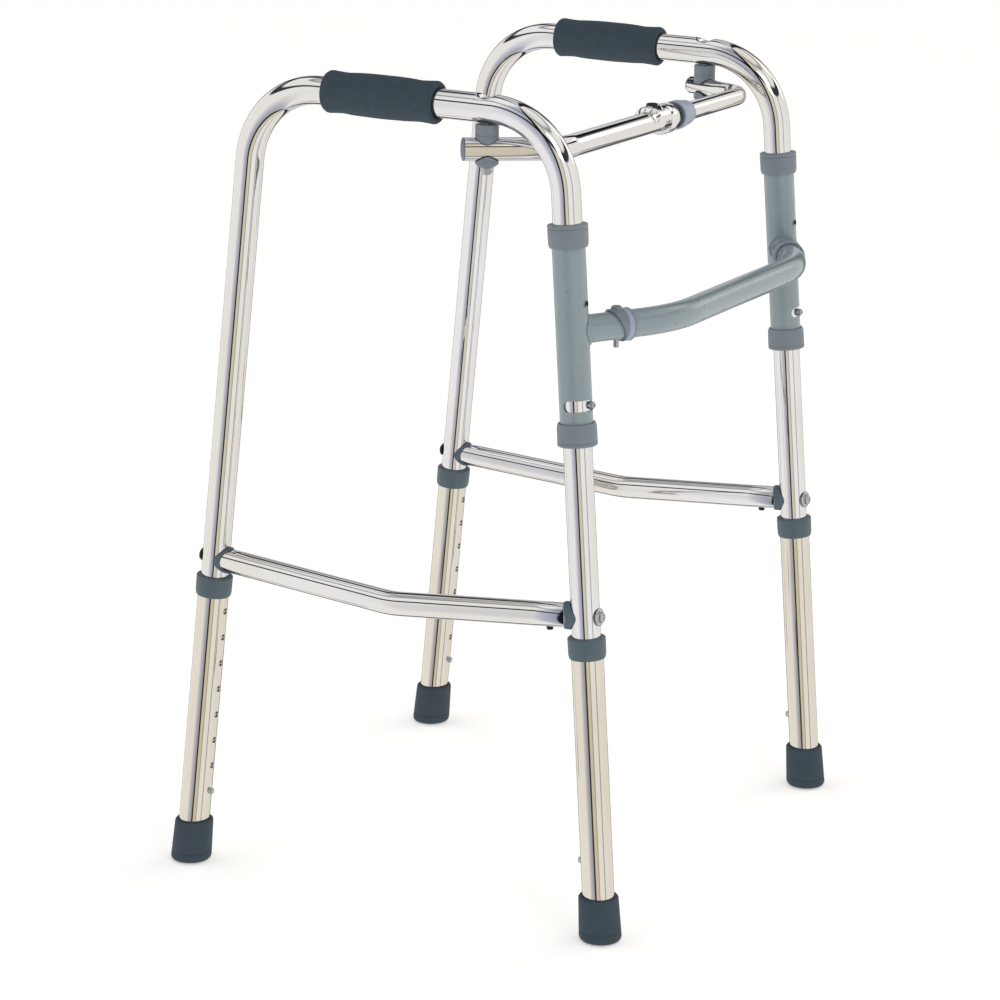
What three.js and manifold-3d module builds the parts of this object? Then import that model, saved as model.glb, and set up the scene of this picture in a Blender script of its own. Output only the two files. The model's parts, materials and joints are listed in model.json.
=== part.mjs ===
// Folding walking frame with four telescoping legs. Millimetres, +Z up, +Y towards the user's
// back, -Y the closed front. The origin is on the floor under the middle of the frame.
import * as THREE from "three";
import { mergeVertices } from "three/addons/utils/BufferGeometryUtils.js";
import Module from "manifold-3d";

const wasm = await Module();
wasm.setup();

// ---- Driving dimensions -------------------------------------------------------------------

// Stance
const WIDTH_FLOOR = 470; // between the left and right leg axes on the floor
const DEPTH_FLOOR = 430; // between the front and rear leg axes on the floor
const SIDE_LEAN = 0.0139; // how far a side frame leans in, per mm of height
const FRONT_LEAN = 0.0686; // how far a front leg leans back, per mm of height
const REAR_LEAN = 0.1057; // how far a rear leg leans forward, per mm of height
const TOP_Z = 728.4; // tube centre line at the front top corner
const TOP_RISE = 8; // the rear top corner stands this much higher

// Frame tube, bent to an upside-down U for each side
const TUBE_R = 12.7;
const TUBE_WALL = 1.2;
const BEND_R = 72;
const TUBE_LOW_Z = 56;

// Running clearance of a tube in a tube, and the gap left between pieces that touch
const RUN_GAP = 0.3;
const TOUCH_GAP = 0.3;

// Leg extensions with their collars, feet and snap clips
const LEG_WALL = 1.3;
const HOLE_COUNT = 8;
const HOLE_PITCH = 25.4;
const HOLE_R = 3.5;
const BUTTON_Z = 72;
const BUTTON_R = 3.1;
const BUTTON_PROUD = 4;
const COLLAR_TALL = 19;
const COLLAR_WALL = 2.2;
const COLLAR_LIP = 2;
const HOLE_TO_COLLAR = 17; // from the highest hole up to the collar of a front leg
const REAR_COLLAR_RISE = 4.4;
const FOOT_TALL = 41;
const FOOT_WALL = 4.6;
const FOOT_FLARE = 1.2;
const FOOT_FLOOR = 9;
const TUBE_OFF_FLOOR = 2; // a leg tube's square end stands this far above the foot's floor
const SOLE_ROUND = 4;

// Foam hand grips
const GRIP_R = 19.2;
const GRIP_WAIST_R = 18.3;
const GRIP_END_R = 19;
const GRIP_FRONT_INSET = 53; // from the start of the straight top run
const GRIP_REAR_INSET = 7; // from the end of the straight top run

// Side bars between the legs
const SIDE_BAR_R = 11.1;
const SIDE_BAR_WALL = 1.2;
const SIDE_BAR_FRONT_Z = 295;
const SIDE_BAR_REAR_Z = 298;
const SIDE_BAR_SAG = 14.5;
const SIDE_BAR_OUT = 7;
const SIDE_BAR_BEND_R = 120;
const FRONT_SADDLE = 6.2;
const REAR_SADDLE = 2.6;
const SADDLE_R = 12.6;
const PLUG_DEEP = 7;
const SCREW_R = 3;
const SCREW_HOLE_R = 3.3;
const SCREW_DEEP = 30; // shank length from the leg axis into the bar
const CUP_R = 8;
const BAR_PIN_R = 3.2;
const BAR_PIN_FROM_LEG = 34;
const BAR_PIN_PROUD = 3;

// Swivel sleeves on the front legs
const SLEEVE_WALL = 1.4;
const SLEEVE_TOP_DROP = 100.6; // from the front top corner down to the middle of the top collar
const SLEEVE_LONG = 171.3; // between the middles of its two collars
const SLEEVE_COLLAR_TALL = 20;
const SLEEVE_COLLAR_WALL = 2.8;
const SIGHT_HOLE_R = 4;
const SIGHT_HOLE_DROP = 58;
const SLOT_TALL = 10;
const SLOT_RISE = 25.5; // slot middle above the middle of the lower collar
const SLOT_INBOARD = 40; // degrees from straight forward
const SLOT_OUTBOARD = 112;
const LIMIT_SCREW_R = 2.5;

// Lower cross bar
const LOWER_BAR_R = 12.4;
const LOWER_BAR_WALL = 1.4;
const LOWER_BAR_DROP = 182.4; // from the front top corner
const LOWER_BAR_FORWARD = 53.5;
const LOWER_ARM_ANGLE = 59.5; // degrees inboard of straight forward
const LOWER_BEND_R = 130;
const STUB_LONG = 50;
const STUB_PLUG = 10;
const WELD_LEG = 3;
const RING_WALL = 1.9;
const RING_INNER_END = 57;
const RING_TOP_START = 38;
const RING_LOW_START = 50;
const RIM_WIDE = 2.4;
const BAND_DEEP = 0.7;
const PIN_R = 2.65;
const PIN_FROM_SLEEVE = 45;
const PIN_BELOW = 7;
const PIN_HEAD_R = 4.8;
const PIN_HEAD_PROUD = 3;

// Upper cross bar, in two halves that part at the middle latch
const UPPER_BAR_DROP = 35; // below the top tube's centre line
const BOLT_BEHIND_LEG = 72; // the pivot bolt behind the front leg axis
const UPPER_ARM_ANGLE = 31; // degrees inboard of straight forward
const UPPER_BAR_FORWARD = 55;
const UPPER_BEND_R = 36;
const UPPER_TAIL = 19; // from the bolt to the closed end
const UPPER_WALL = 1.3;
const LATCH_HALF_R = 10.2;
const PLUG_HALF_R = 8.6;
const END_CAP_LONG = 3;
const SPACER_R = 10.4;
const SPACER_TOP_GAP = 0.9; // lets the flat top turn under the start of the bend
const SADDLE_LONG = 24;
const SADDLE_TALL = 8;
const BOLT_R = 3;
const BOLT_HOLE_R = 3.3;
const BOLT_HEAD_R = 6.4;
const BOLT_HEAD_TALL = 3.2;
const DIMPLE_R = 9.5;
const DIMPLE_DEEP = 7.2;
const NUT_R = 5.2;
const NUT_TALL = 7;

// Middle latch, along the bar from the middle of the frame
const HOOD_START = -25;
const RING_START = 4;
const RING_END = 21;
const LATCH_TUBE_END = 14;
const LATCH_RING_R = 14;
const HOOD_R = 15.5;
const NOSE_START = 19;
const BUSH_START = 34;
const BUSH_END = 62;
const BUSH_R = 13.4;
const LATCH_BUTTON_R = 5.5;
const LATCH_BUTTON_AT = -11;
const LATCH_BUTTON_PROUD = 1.6;

// Facets round a full turn
const TUBE_SIDES = 16;
const BORE_SIDES = 10;
const SMALL_SIDES = 8;
const BEND_STEPS = 5;

// ---- Derived dimensions -------------------------------------------------------------------

const TUBE_BORE_R = TUBE_R - TUBE_WALL;
const SLIDE_BORE_R = TUBE_R + RUN_GAP;
const LEG_R = SLIDE_BORE_R + LEG_WALL;
const FOOT_TOP_R = LEG_R + TOUCH_GAP + FOOT_WALL - FOOT_FLARE;
const FOOT_R = LEG_R + TOUCH_GAP + FOOT_WALL;
const FRONT_COLLAR_Z = BUTTON_Z + (HOLE_COUNT - 1) * HOLE_PITCH + HOLE_TO_COLLAR;
const COLLAR_Z = { front: FRONT_COLLAR_Z, rear: FRONT_COLLAR_Z + REAR_COLLAR_RISE };
const SLEEVE_R = SLIDE_BORE_R + SLEEVE_WALL;
const SLEEVE_TOP_Z = TOP_Z - SLEEVE_TOP_DROP;
const SLEEVE_LOW_Z = SLEEVE_TOP_Z - SLEEVE_LONG;
const SIGHT_HOLE_Z = SLEEVE_TOP_Z - SIGHT_HOLE_DROP;
const SLOT_Z = SLEEVE_LOW_Z + SLOT_RISE;
const LOWER_BAR_Z = TOP_Z - LOWER_BAR_DROP;
const LOWER_BORE_R = LOWER_BAR_R - LOWER_BAR_WALL;
const STUB_PLUG_R = insideBore(LOWER_BORE_R);
const FRONT_REACH = LOWER_BAR_FORWARD + LOWER_BAR_R - FRONT_LEAN * LOWER_BAR_Z;
const FRONT_FLOOR_Y = (FRONT_REACH - DEPTH_FLOOR - FOOT_R) / 2;
const REAR_FLOOR_Y = FRONT_FLOOR_Y + DEPTH_FLOOR;

// The largest radius that goes into a tube's bore, measured across its facets.
function insideBore(radius) {
  return radius * Math.cos(Math.PI / BORE_SIDES) - TOUCH_GAP;
}

const UP = new THREE.Vector3(0, 0, 1);
const FORWARD = new THREE.Vector3(0, -1, 0);
const ACROSS = new THREE.Vector3(1, 0, 0);

const radians = THREE.MathUtils.degToRad;

// ---- The layout of one side; every piece is laid out on the left and mirrored for the right ---

// A point of the left side frame's plane.
function onSide(y, z) {
  return new THREE.Vector3(WIDTH_FLOOR / 2 - SIDE_LEAN * z, y, z);
}

// The point of a leg's axis at a height.
function onLeg(end, z) {
  const y = end === "front" ? FRONT_FLOOR_Y + FRONT_LEAN * z : REAR_FLOOR_Y - REAR_LEAN * z;
  return onSide(y, z);
}

function legUp(end) {
  return onLeg(end, 1).sub(onLeg(end, 0)).normalize();
}

// The direction across a leg, in the side frame's plane, towards the other leg of that side.
function towardsPartner(end) {
  const across = onLeg(end === "front" ? "rear" : "front", 0).sub(onLeg(end, 0));
  const up = legUp(end);
  return across.addScaledVector(up, -across.dot(up)).normalize();
}

const FRONT_CORNER = onLeg("front", TOP_Z);
const REAR_CORNER = onLeg("rear", TOP_Z + TOP_RISE);
const TOP_ALONG = REAR_CORNER.clone().sub(FRONT_CORNER).normalize();
const TOP_UP = new THREE.Vector3().crossVectors(ACROSS, TOP_ALONG).normalize();

// The point of the top tube's centre line at a distance behind the front corner.
function onTop(distance) {
  return FRONT_CORNER.clone().addScaledVector(TOP_ALONG, distance);
}

// How far a bend between two directions starts before its corner.
function bendSetback(from, to, radius) {
  return radius * Math.tan(from.angleTo(to) / 2);
}

const TOP_START = bendSetback(legUp("front"), TOP_ALONG, BEND_R);
const TOP_END = REAR_CORNER.distanceTo(FRONT_CORNER)
  - bendSetback(TOP_ALONG, legUp("rear").negate(), BEND_R);
const PIVOT = onTop(BOLT_BEHIND_LEG);
const UPPER_BAR_Z = PIVOT.z - UPPER_BAR_DROP;
const UPPER_PIVOT = new THREE.Vector3(PIVOT.x, PIVOT.y, UPPER_BAR_Z);

// A level direction turned inboard from straight forward by an angle, on the left side.
function inboard(degrees) {
  return new THREE.Vector3(-Math.sin(radians(degrees)), -Math.cos(radians(degrees)), 0);
}

const LOWER_ARM = inboard(LOWER_ARM_ANGLE);
const SLEEVE_CENTRE = onLeg("front", LOWER_BAR_Z);
const UPPER_ARM = inboard(UPPER_ARM_ANGLE);
const UPPER_LINE = UPPER_PIVOT.y - UPPER_BAR_FORWARD;

// A frame whose Z runs along a direction and whose X faces another.
function frameAt(origin, along, facing) {
  const z = along.clone().normalize();
  const x = facing.clone().addScaledVector(z, -facing.dot(z)).normalize();
  const y = new THREE.Vector3().crossVectors(z, x);
  return new THREE.Matrix4().makeBasis(x, y, z).setPosition(origin);
}

// ---- Solids -------------------------------------------------------------------------------

function solidFrom(geometry, placed = new THREE.Matrix4()) {
  const open = geometry.index ? geometry.toNonIndexed() : geometry.clone();
  open.deleteAttribute("normal");
  open.deleteAttribute("uv");
  open.applyMatrix4(placed);
  const merged = mergeVertices(open, 1e-4);
  const index = merged.index.array;
  const kept = [];
  for (let i = 0; i < index.length; i += 3) {
    const [a, b, c] = [index[i], index[i + 1], index[i + 2]];
    if (a !== b && b !== c && c !== a) kept.push(a, b, c);
  }
  const build = (triangles) =>
    new wasm.Manifold(
      new wasm.Mesh({
        numProp: 3,
        vertProperties: new Float32Array(merged.attributes.position.array),
        triVerts: new Uint32Array(triangles),
      }),
    );
  const made = build(kept);
  if (made.volume() > 0) return made;
  const turned = [];
  for (let i = 0; i < kept.length; i += 3) turned.push(kept[i], kept[i + 2], kept[i + 1]);
  return build(turned);
}

// A profile of [radius, height] pairs turned about Z.
function turned(profile, sides, placed) {
  const points = profile.map(([radius, height]) => new THREE.Vector2(radius, height));
  return solidFrom(new THREE.LatheGeometry(points, sides).rotateX(Math.PI / 2), placed);
}

function rod(radius, from, to, sides, placed) {
  return turned([[0, from], [radius, from], [radius, to], [0, to]], sides, placed);
}

function ring(inner, outer, from, to, sides, placed) {
  const profile = [[inner, from], [outer, from], [outer, to], [inner, to], [inner, from]];
  return turned(profile, sides, placed);
}

function box(x, y, z, placed) {
  return solidFrom(new THREE.BoxGeometry(x, y, z), placed);
}

function shifted(x, y, z) {
  return new THREE.Matrix4().makeTranslation(x, y, z);
}

// A centre line of straight runs joined by round bends: one step a run, a few steps a bend.
class BentPath extends THREE.Curve {
  constructor(corners, bendRadius, bendSteps = BEND_STEPS) {
    super();
    this.stations = [];
    const last = corners.length - 1;
    const heading = (i) => corners[i + 1].clone().sub(corners[i]).normalize();
    this.stations.push({ point: corners[0], tangent: heading(0) });
    for (let i = 1; i < last; i += 1) {
      this.addBend(corners[i], heading(i - 1), heading(i), bendRadius, bendSteps);
    }
    this.stations.push({ point: corners[last], tangent: heading(last - 1) });
  }

  addBend(corner, before, after, radius, steps) {
    const turn = before.angleTo(after);
    const axis = new THREE.Vector3().crossVectors(before, after).normalize();
    const start = corner.clone().addScaledVector(before, -bendSetback(before, after, radius));
    const centre = start.clone().addScaledVector(
      new THREE.Vector3().crossVectors(axis, before), radius);
    const spoke = start.clone().sub(centre);
    for (let k = 0; k <= steps; k += 1) {
      const angle = (turn * k) / steps;
      this.stations.push({
        point: centre.clone().add(spoke.clone().applyAxisAngle(axis, angle)),
        tangent: before.clone().applyAxisAngle(axis, angle),
      });
    }
  }

  station(t) {
    return this.stations[Math.round(t * (this.stations.length - 1))];
  }

  getPoint(t, target = new THREE.Vector3()) {
    return target.copy(this.station(t).point);
  }

  getPointAt(t, target) {
    return this.getPoint(t, target);
  }

  getTangent(t, target = new THREE.Vector3()) {
    return target.copy(this.station(t).tangent);
  }

  getTangentAt(t, target) {
    return this.getTangent(t, target);
  }
}

function circle(radius, sides) {
  const points = [];
  for (let i = 0; i < sides; i += 1) {
    const angle = (2 * Math.PI * i) / sides;
    points.push(new THREE.Vector2(radius * Math.cos(angle), radius * Math.sin(angle)));
  }
  return points;
}

function swept(shape, path) {
  const steps = path.stations.length - 1;
  const settings = { steps, extrudePath: path, bevelEnabled: false };
  return solidFrom(new THREE.ExtrudeGeometry(shape, settings));
}

function tube(path, outer, bore, sides = TUBE_SIDES, boreSides = BORE_SIDES) {
  const shape = new THREE.Shape(circle(outer, sides));
  shape.holes.push(new THREE.Path(circle(bore, boreSides).reverse()));
  return swept(shape, path);
}

// Straight tube along a leg between two heights, bored to slide on the frame tube.
function legSleeve(end, from, to, outer) {
  const path = new BentPath([onLeg(end, from), onLeg(end, to)], 0);
  return tube(path, outer, SLIDE_BORE_R, TUBE_SIDES, TUBE_SIDES);
}

// A frame on a leg's axis, Z up the leg and X towards the other leg of that side.
function legFrame(end, z) {
  return frameAt(onLeg(end, z), legUp(end), towardsPartner(end));
}

// ---- Side frame ---------------------------------------------------------------------------

// The directions a side bar leaves its front and rear legs in.
const BAR_FRONT = onLeg("front", SIDE_BAR_FRONT_Z);
const BAR_REAR = onLeg("rear", SIDE_BAR_REAR_Z);
const BAR_MIDDLE = BAR_FRONT.clone().add(BAR_REAR).multiplyScalar(0.5)
  .add(new THREE.Vector3(SIDE_BAR_OUT, 0, -SIDE_BAR_SAG));
const BAR_FROM_FRONT = BAR_MIDDLE.clone().sub(BAR_FRONT).normalize();
const BAR_FROM_REAR = BAR_MIDDLE.clone().sub(BAR_REAR).normalize();

// A drill through a leg along a side bar.
function barDrill(origin, direction) {
  return rod(SCREW_HOLE_R, -2 * LEG_R, SCREW_DEEP + PLUG_DEEP, SMALL_SIDES,
    frameAt(origin, direction, UP));
}

function limitDirection() {
  return FORWARD.clone().addScaledVector(legUp("front"), -FORWARD.dot(legUp("front")))
    .normalize();
}

function sideTube() {
  const path = new BentPath(
    [onLeg("front", TUBE_LOW_Z), FRONT_CORNER, REAR_CORNER, onLeg("rear", TUBE_LOW_Z)], BEND_R);
  const boss = rod(DIMPLE_R, TUBE_R - DIMPLE_DEEP - 2.2, TUBE_R - TUBE_WALL / 2,
    SMALL_SIDES, frameAt(PIVOT, TOP_UP, TOP_ALONG));
  const inside = rod(TUBE_BORE_R + 0.4, -DIMPLE_R * 2, DIMPLE_R * 2, BORE_SIDES,
    frameAt(PIVOT, TOP_ALONG, ACROSS));
  const floor = TUBE_R - DIMPLE_DEEP;
  const dimple = turned(
    [[0, floor], [BOLT_HEAD_R + 0.4, floor], [DIMPLE_R, TUBE_R + 1], [0, TUBE_R + 1]],
    TUBE_SIDES, frameAt(PIVOT, TOP_UP, TOP_ALONG));
  let body = tube(path, TUBE_R, TUBE_BORE_R);
  body = body.add(boss.intersect(inside)).subtract(dimple);
  body = body.subtract(rod(BOLT_HOLE_R, -2 * TUBE_R, 2 * TUBE_R, SMALL_SIDES,
    frameAt(PIVOT, UP, TOP_ALONG)));
  body = body.subtract(barDrill(BAR_FRONT, BAR_FROM_FRONT));
  body = body.subtract(barDrill(BAR_REAR, BAR_FROM_REAR));
  for (const end of ["front", "rear"]) {
    body = body.subtract(rod(HOLE_R, 0, 2 * TUBE_R, SMALL_SIDES,
      frameAt(onLeg(end, BUTTON_Z), towardsPartner(end), legUp(end))));
  }
  return body.subtract(rod(LIMIT_SCREW_R + TOUCH_GAP, TUBE_BORE_R / 2, 2 * TUBE_R,
    SMALL_SIDES, frameAt(onLeg("front", SLOT_Z), limitDirection(), UP)));
}

function grip() {
  const from = TOP_START + GRIP_FRONT_INSET;
  const to = TOP_END - GRIP_REAR_INSET;
  const long = to - from;
  const bore = TUBE_R + TOUCH_GAP;
  const profile = [
    [bore, 0], [GRIP_END_R - 3, 0], [GRIP_END_R, 3], [GRIP_END_R - 0.3, long * 0.09],
    [GRIP_WAIST_R, long * 0.2], [GRIP_R, long * 0.5], [GRIP_WAIST_R, long * 0.8],
    [GRIP_END_R - 0.3, long * 0.91], [GRIP_END_R, long - 3], [GRIP_END_R - 3, long],
    [bore, long], [bore, 0],
  ];
  return turned(profile, TUBE_SIDES, frameAt(onTop(from), TOP_ALONG, ACROSS));
}

// Where a side bar's end is cut to the shape of its saddle.
function fishMouth(end, saddle) {
  return rod(TUBE_R + TOUCH_GAP + saddle + TOUCH_GAP, -60, 60, TUBE_SIDES,
    legFrame(end, end === "front" ? SIDE_BAR_FRONT_Z : SIDE_BAR_REAR_Z));
}

function sideBar() {
  const path = new BentPath([BAR_FRONT, BAR_MIDDLE, BAR_REAR], SIDE_BAR_BEND_R, 3);
  const bore = SIDE_BAR_R - SIDE_BAR_WALL;
  const plugFrom = (saddle) => TUBE_R + saddle / 2;
  const plugTo = (saddle) => TUBE_R + TOUCH_GAP + saddle + TOUCH_GAP + PLUG_DEEP;
  let body = tube(path, SIDE_BAR_R, bore);
  body = body.add(rod(bore + 0.5, plugFrom(FRONT_SADDLE), plugTo(FRONT_SADDLE), BORE_SIDES,
    frameAt(BAR_FRONT, BAR_FROM_FRONT, UP)));
  body = body.add(rod(bore + 0.5, plugFrom(REAR_SADDLE), plugTo(REAR_SADDLE), BORE_SIDES,
    frameAt(BAR_REAR, BAR_FROM_REAR, UP)));
  body = body.subtract(fishMouth("front", FRONT_SADDLE));
  body = body.subtract(fishMouth("rear", REAR_SADDLE));
  body = body.subtract(barDrill(BAR_FRONT, BAR_FROM_FRONT));
  body = body.subtract(barDrill(BAR_REAR, BAR_FROM_REAR));
  return body.subtract(rod(BAR_PIN_R + TOUCH_GAP, 0, 2 * SIDE_BAR_R, SMALL_SIDES,
    barPinFrame()));
}

// A frame under the side bar, Z pointing down out of the pin's hole.
function barPinFrame() {
  const down = UP.clone().negate();
  down.addScaledVector(BAR_FROM_FRONT, -down.dot(BAR_FROM_FRONT)).normalize();
  const origin = BAR_FRONT.clone().addScaledVector(BAR_FROM_FRONT, BAR_PIN_FROM_LEG);
  return frameAt(origin, down, BAR_FROM_FRONT);
}

function sideBarPin() {
  const inside = SIDE_BAR_R - SIDE_BAR_WALL - 2;
  const tip = SIDE_BAR_R + BAR_PIN_PROUD;
  return turned([
    [0, inside - 1.2], [BAR_PIN_R + 1.2, inside - 1.2], [BAR_PIN_R + 1.2, inside],
    [BAR_PIN_R, inside], [BAR_PIN_R, tip - 1], [BAR_PIN_R - 1.2, tip], [0, tip],
  ], SMALL_SIDES, barPinFrame());
}

// A plastic saddle between a leg and its side bar, hugging the leg.
function barSaddle(end, saddle) {
  const height = end === "front" ? SIDE_BAR_FRONT_Z : SIDE_BAR_REAR_Z;
  const origin = end === "front" ? BAR_FRONT : BAR_REAR;
  const direction = end === "front" ? BAR_FROM_FRONT : BAR_FROM_REAR;
  const inner = TUBE_R + TOUCH_GAP;
  const shell = ring(inner, inner + saddle, -20, 20, TUBE_SIDES, legFrame(end, height));
  const along = frameAt(origin, direction, UP);
  return shell.intersect(rod(SADDLE_R, 0, 30, TUBE_SIDES, along))
    .subtract(barDrill(origin, direction));
}

// The two crossed slots of a recessed screw head, cut down from a height.
function crossRecess(top, deep, long, placed) {
  const wide = 1.1;
  const at = shifted(0, 0, top).premultiply(placed);
  return box(long, wide, 2 * deep, at).add(box(wide, long, 2 * deep, at));
}

// Screw through a front leg into its side bar, with its cup washer held on.
function frontScrew() {
  const placed = frameAt(BAR_FRONT, BAR_FROM_FRONT.clone().negate(), UP);
  const seat = TUBE_R + 0.15;
  const body = turned([
    [0, -SCREW_DEEP + 2], [SCREW_R, -SCREW_DEEP + 2], [SCREW_R, seat], [CUP_R, seat],
    [CUP_R, seat + 0.8], [CUP_R - 2, seat + 2], [5, seat + 2], [4.8, seat + 3.6],
    [3.4, seat + 4.6], [0, seat + 4.8],
  ], TUBE_SIDES, placed);
  return body.subtract(crossRecess(seat + 4.8, 1.6, 4.6, placed));
}

// Dark bolt through a rear leg into its side bar.
function rearBolt() {
  const placed = frameAt(BAR_REAR, BAR_FROM_REAR.clone().negate(), UP);
  const seat = TUBE_R + 0.15;
  return turned([
    [0, -SCREW_DEEP + 6], [SCREW_R, -SCREW_DEEP + 6], [SCREW_R, seat], [6.2, seat],
    [6.2, seat + 1.6], [4.6, seat + 3.4], [0, seat + 4],
  ], BORE_SIDES, placed);
}

// Stop screw in the front leg; its head shows through the slot of the sleeve.
function limitScrew() {
  const placed = frameAt(onLeg("front", SLOT_Z), limitDirection(), UP);
  const under = TUBE_R + 0.1;
  const body = turned([
    [0, TUBE_BORE_R - 3], [LIMIT_SCREW_R, TUBE_BORE_R - 3], [LIMIT_SCREW_R, under],
    [LIMIT_SCREW_R + 1, under], [LIMIT_SCREW_R + 1, SLEEVE_R + 2.4],
    [LIMIT_SCREW_R - 0.4, SLEEVE_R + 3.4], [0, SLEEVE_R + 3.6],
  ], BORE_SIDES, placed);
  return body.subtract(crossRecess(SLEEVE_R + 3.6, 1.4, 3.6, placed));
}

// ---- Leg extensions -----------------------------------------------------------------------

function legTube(end) {
  const top = COLLAR_Z[end] + COLLAR_TALL / 2 - COLLAR_LIP - TOUCH_GAP;
  let body = legSleeve(end, FOOT_FLOOR + TUBE_OFF_FLOOR, top, LEG_R);
  for (let i = 0; i < HOLE_COUNT; i += 1) {
    const z = BUTTON_Z + i * HOLE_PITCH * legUp(end).z;
    body = body.subtract(rod(HOLE_R, 0, 2 * LEG_R, SMALL_SIDES,
      frameAt(onLeg(end, z), towardsPartner(end), legUp(end))));
  }
  return body;
}

// A ring over a tube's end, its lip closing on the frame tube.
function collar(tubeR, wall, tall, lip, taper) {
  const bore = tubeR + TOUCH_GAP;
  const outer = bore + wall;
  const half = tall / 2;
  return [
    [bore, -half], [outer - taper, -half], [outer, -half + tall * 0.22],
    [outer, half - 1], [outer - 1, half], [SLIDE_BORE_R, half], [SLIDE_BORE_R, half - lip],
    [bore, half - lip], [bore, -half],
  ];
}

function legCollar(end) {
  const profile = collar(LEG_R, COLLAR_WALL, COLLAR_TALL, COLLAR_LIP, 1);
  return turned(profile, TUBE_SIDES, legFrame(end, COLLAR_Z[end]));
}

// Rubber foot: level sole, sides sheared to follow the leaning leg.
function foot(end) {
  const bore = LEG_R + TOUCH_GAP;
  const round = SOLE_ROUND;
  const profile = [
    [0, 0], [FOOT_R - round, 0], [FOOT_R - round * 0.3, round * 0.3], [FOOT_R, round],
    [FOOT_TOP_R, FOOT_TALL - 1.5], [FOOT_TOP_R - 1.5, FOOT_TALL], [bore, FOOT_TALL],
    [bore, FOOT_FLOOR], [0, FOOT_FLOOR],
  ];
  const base = onLeg(end, 0);
  const lean = onLeg(end, 1).sub(base);
  const sheared = new THREE.Matrix4().set(
    1, 0, lean.x, base.x,
    0, 1, lean.y, base.y,
    0, 0, 1, 0,
    0, 0, 0, 1,
  );
  return turned(profile, TUBE_SIDES, sheared);
}

// Spring clip inside the frame tube; its button locks the leg at one hole.
function legClip(end) {
  const origin = onLeg(end, BUTTON_Z);
  const out = towardsPartner(end);
  const up = legUp(end);
  const at = (u, w) => origin.clone().addScaledVector(out, u).addScaledVector(up, w);
  const leafOut = TUBE_BORE_R - 2;
  const leafBack = -4.2;
  const path = new BentPath(
    [at(leafOut, -7), at(leafOut, 34), at(leafBack, 34), at(leafBack, 6)], 5, 3);
  const side = new THREE.Vector3().crossVectors(up, out);
  // the strip's section: thin across the leaf and wide along the side direction
  const wide = Math.abs(side.dot(ACROSS)) > 0.5;
  const [half, thin] = [3.6, 0.4];
  const section = wide
    ? [[-half, -thin], [half, -thin], [half, thin], [-half, thin]]
    : [[-thin, -half], [thin, -half], [thin, half], [-thin, half]];
  const leaf = swept(new THREE.Shape(section.map(([x, y]) => new THREE.Vector2(x, y))), path);
  const tip = LEG_R + BUTTON_PROUD;
  const button = turned([
    [0, leafOut - 0.3], [BUTTON_R, leafOut - 0.3], [BUTTON_R, tip - 2],
    [BUTTON_R - 0.8, tip - 0.7], [BUTTON_R - 2, tip], [0, tip],
  ], SMALL_SIDES, frameAt(origin, out, up));
  return leaf.add(button);
}

// ---- Sleeves and lower cross bar ------------------------------------------------------------

// A frame on the sleeve's axis at the stub, Z along the lower arm and X up.
const ARM_FRAME = frameAt(SLEEVE_CENTRE, LOWER_ARM, UP);

// The part of the sleeve's wall that the limit screw travels in.
function slotCutter() {
  const shape = new THREE.Shape();
  const reach = SLEEVE_R + 4;
  const start = -Math.PI / 2 - radians(SLOT_INBOARD);
  const sweep = radians(SLOT_INBOARD + SLOT_OUTBOARD);
  const steps = 8;
  shape.moveTo(0, 0);
  for (let i = 0; i <= steps; i += 1) {
    const angle = start + (sweep * i) / steps;
    shape.lineTo(reach * Math.cos(angle), reach * Math.sin(angle));
  }
  const wedge = new THREE.ExtrudeGeometry(shape, { depth: SLOT_TALL, bevelEnabled: false })
    .translate(0, 0, -SLOT_TALL / 2);
  return solidFrom(wedge, frameAt(onLeg("front", SLOT_Z), legUp("front"), ACROSS));
}

function sleeve() {
  const inset = SLEEVE_COLLAR_TALL / 2 - COLLAR_LIP - TOUCH_GAP;
  const bore = rod(SLIDE_BORE_R, -40, 40, TUBE_SIDES, frameAt(SLEEVE_CENTRE, legUp("front"),
    ACROSS));
  const weldEnd = SLEEVE_R + WELD_LEG;
  let stub = turned([
    [0, 0], [LOWER_BAR_R + WELD_LEG, 0], [LOWER_BAR_R + WELD_LEG * 0.6, SLEEVE_R - 4],
    [LOWER_BAR_R, weldEnd], [LOWER_BAR_R, STUB_LONG], [STUB_PLUG_R, STUB_LONG],
    [STUB_PLUG_R, STUB_LONG + STUB_PLUG], [0, STUB_LONG + STUB_PLUG],
  ], TUBE_SIDES, ARM_FRAME);
  stub = stub.subtract(rod(STUB_PLUG_R - 1.6, SLEEVE_R + 1, STUB_LONG + STUB_PLUG + 1,
    BORE_SIDES, ARM_FRAME));
  stub = stub.subtract(bore).subtract(pinDrill());
  const body = legSleeve("front", SLEEVE_LOW_Z - inset, SLEEVE_TOP_Z + inset, SLEEVE_R);
  const sight = rod(SIGHT_HOLE_R, 0, 2 * SLEEVE_R, BORE_SIDES,
    frameAt(onLeg("front", SIGHT_HOLE_Z), FORWARD, UP));
  return body.subtract(slotCutter()).subtract(sight).add(stub);
}

function sleeveCollar(z, pointsUp) {
  const up = pointsUp ? legUp("front") : legUp("front").negate();
  const profile = collar(SLEEVE_R, SLEEVE_COLLAR_WALL, SLEEVE_COLLAR_TALL, COLLAR_LIP, 0.6);
  return turned(profile, TUBE_SIDES, frameAt(onLeg("front", z), up, ACROSS));
}

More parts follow.
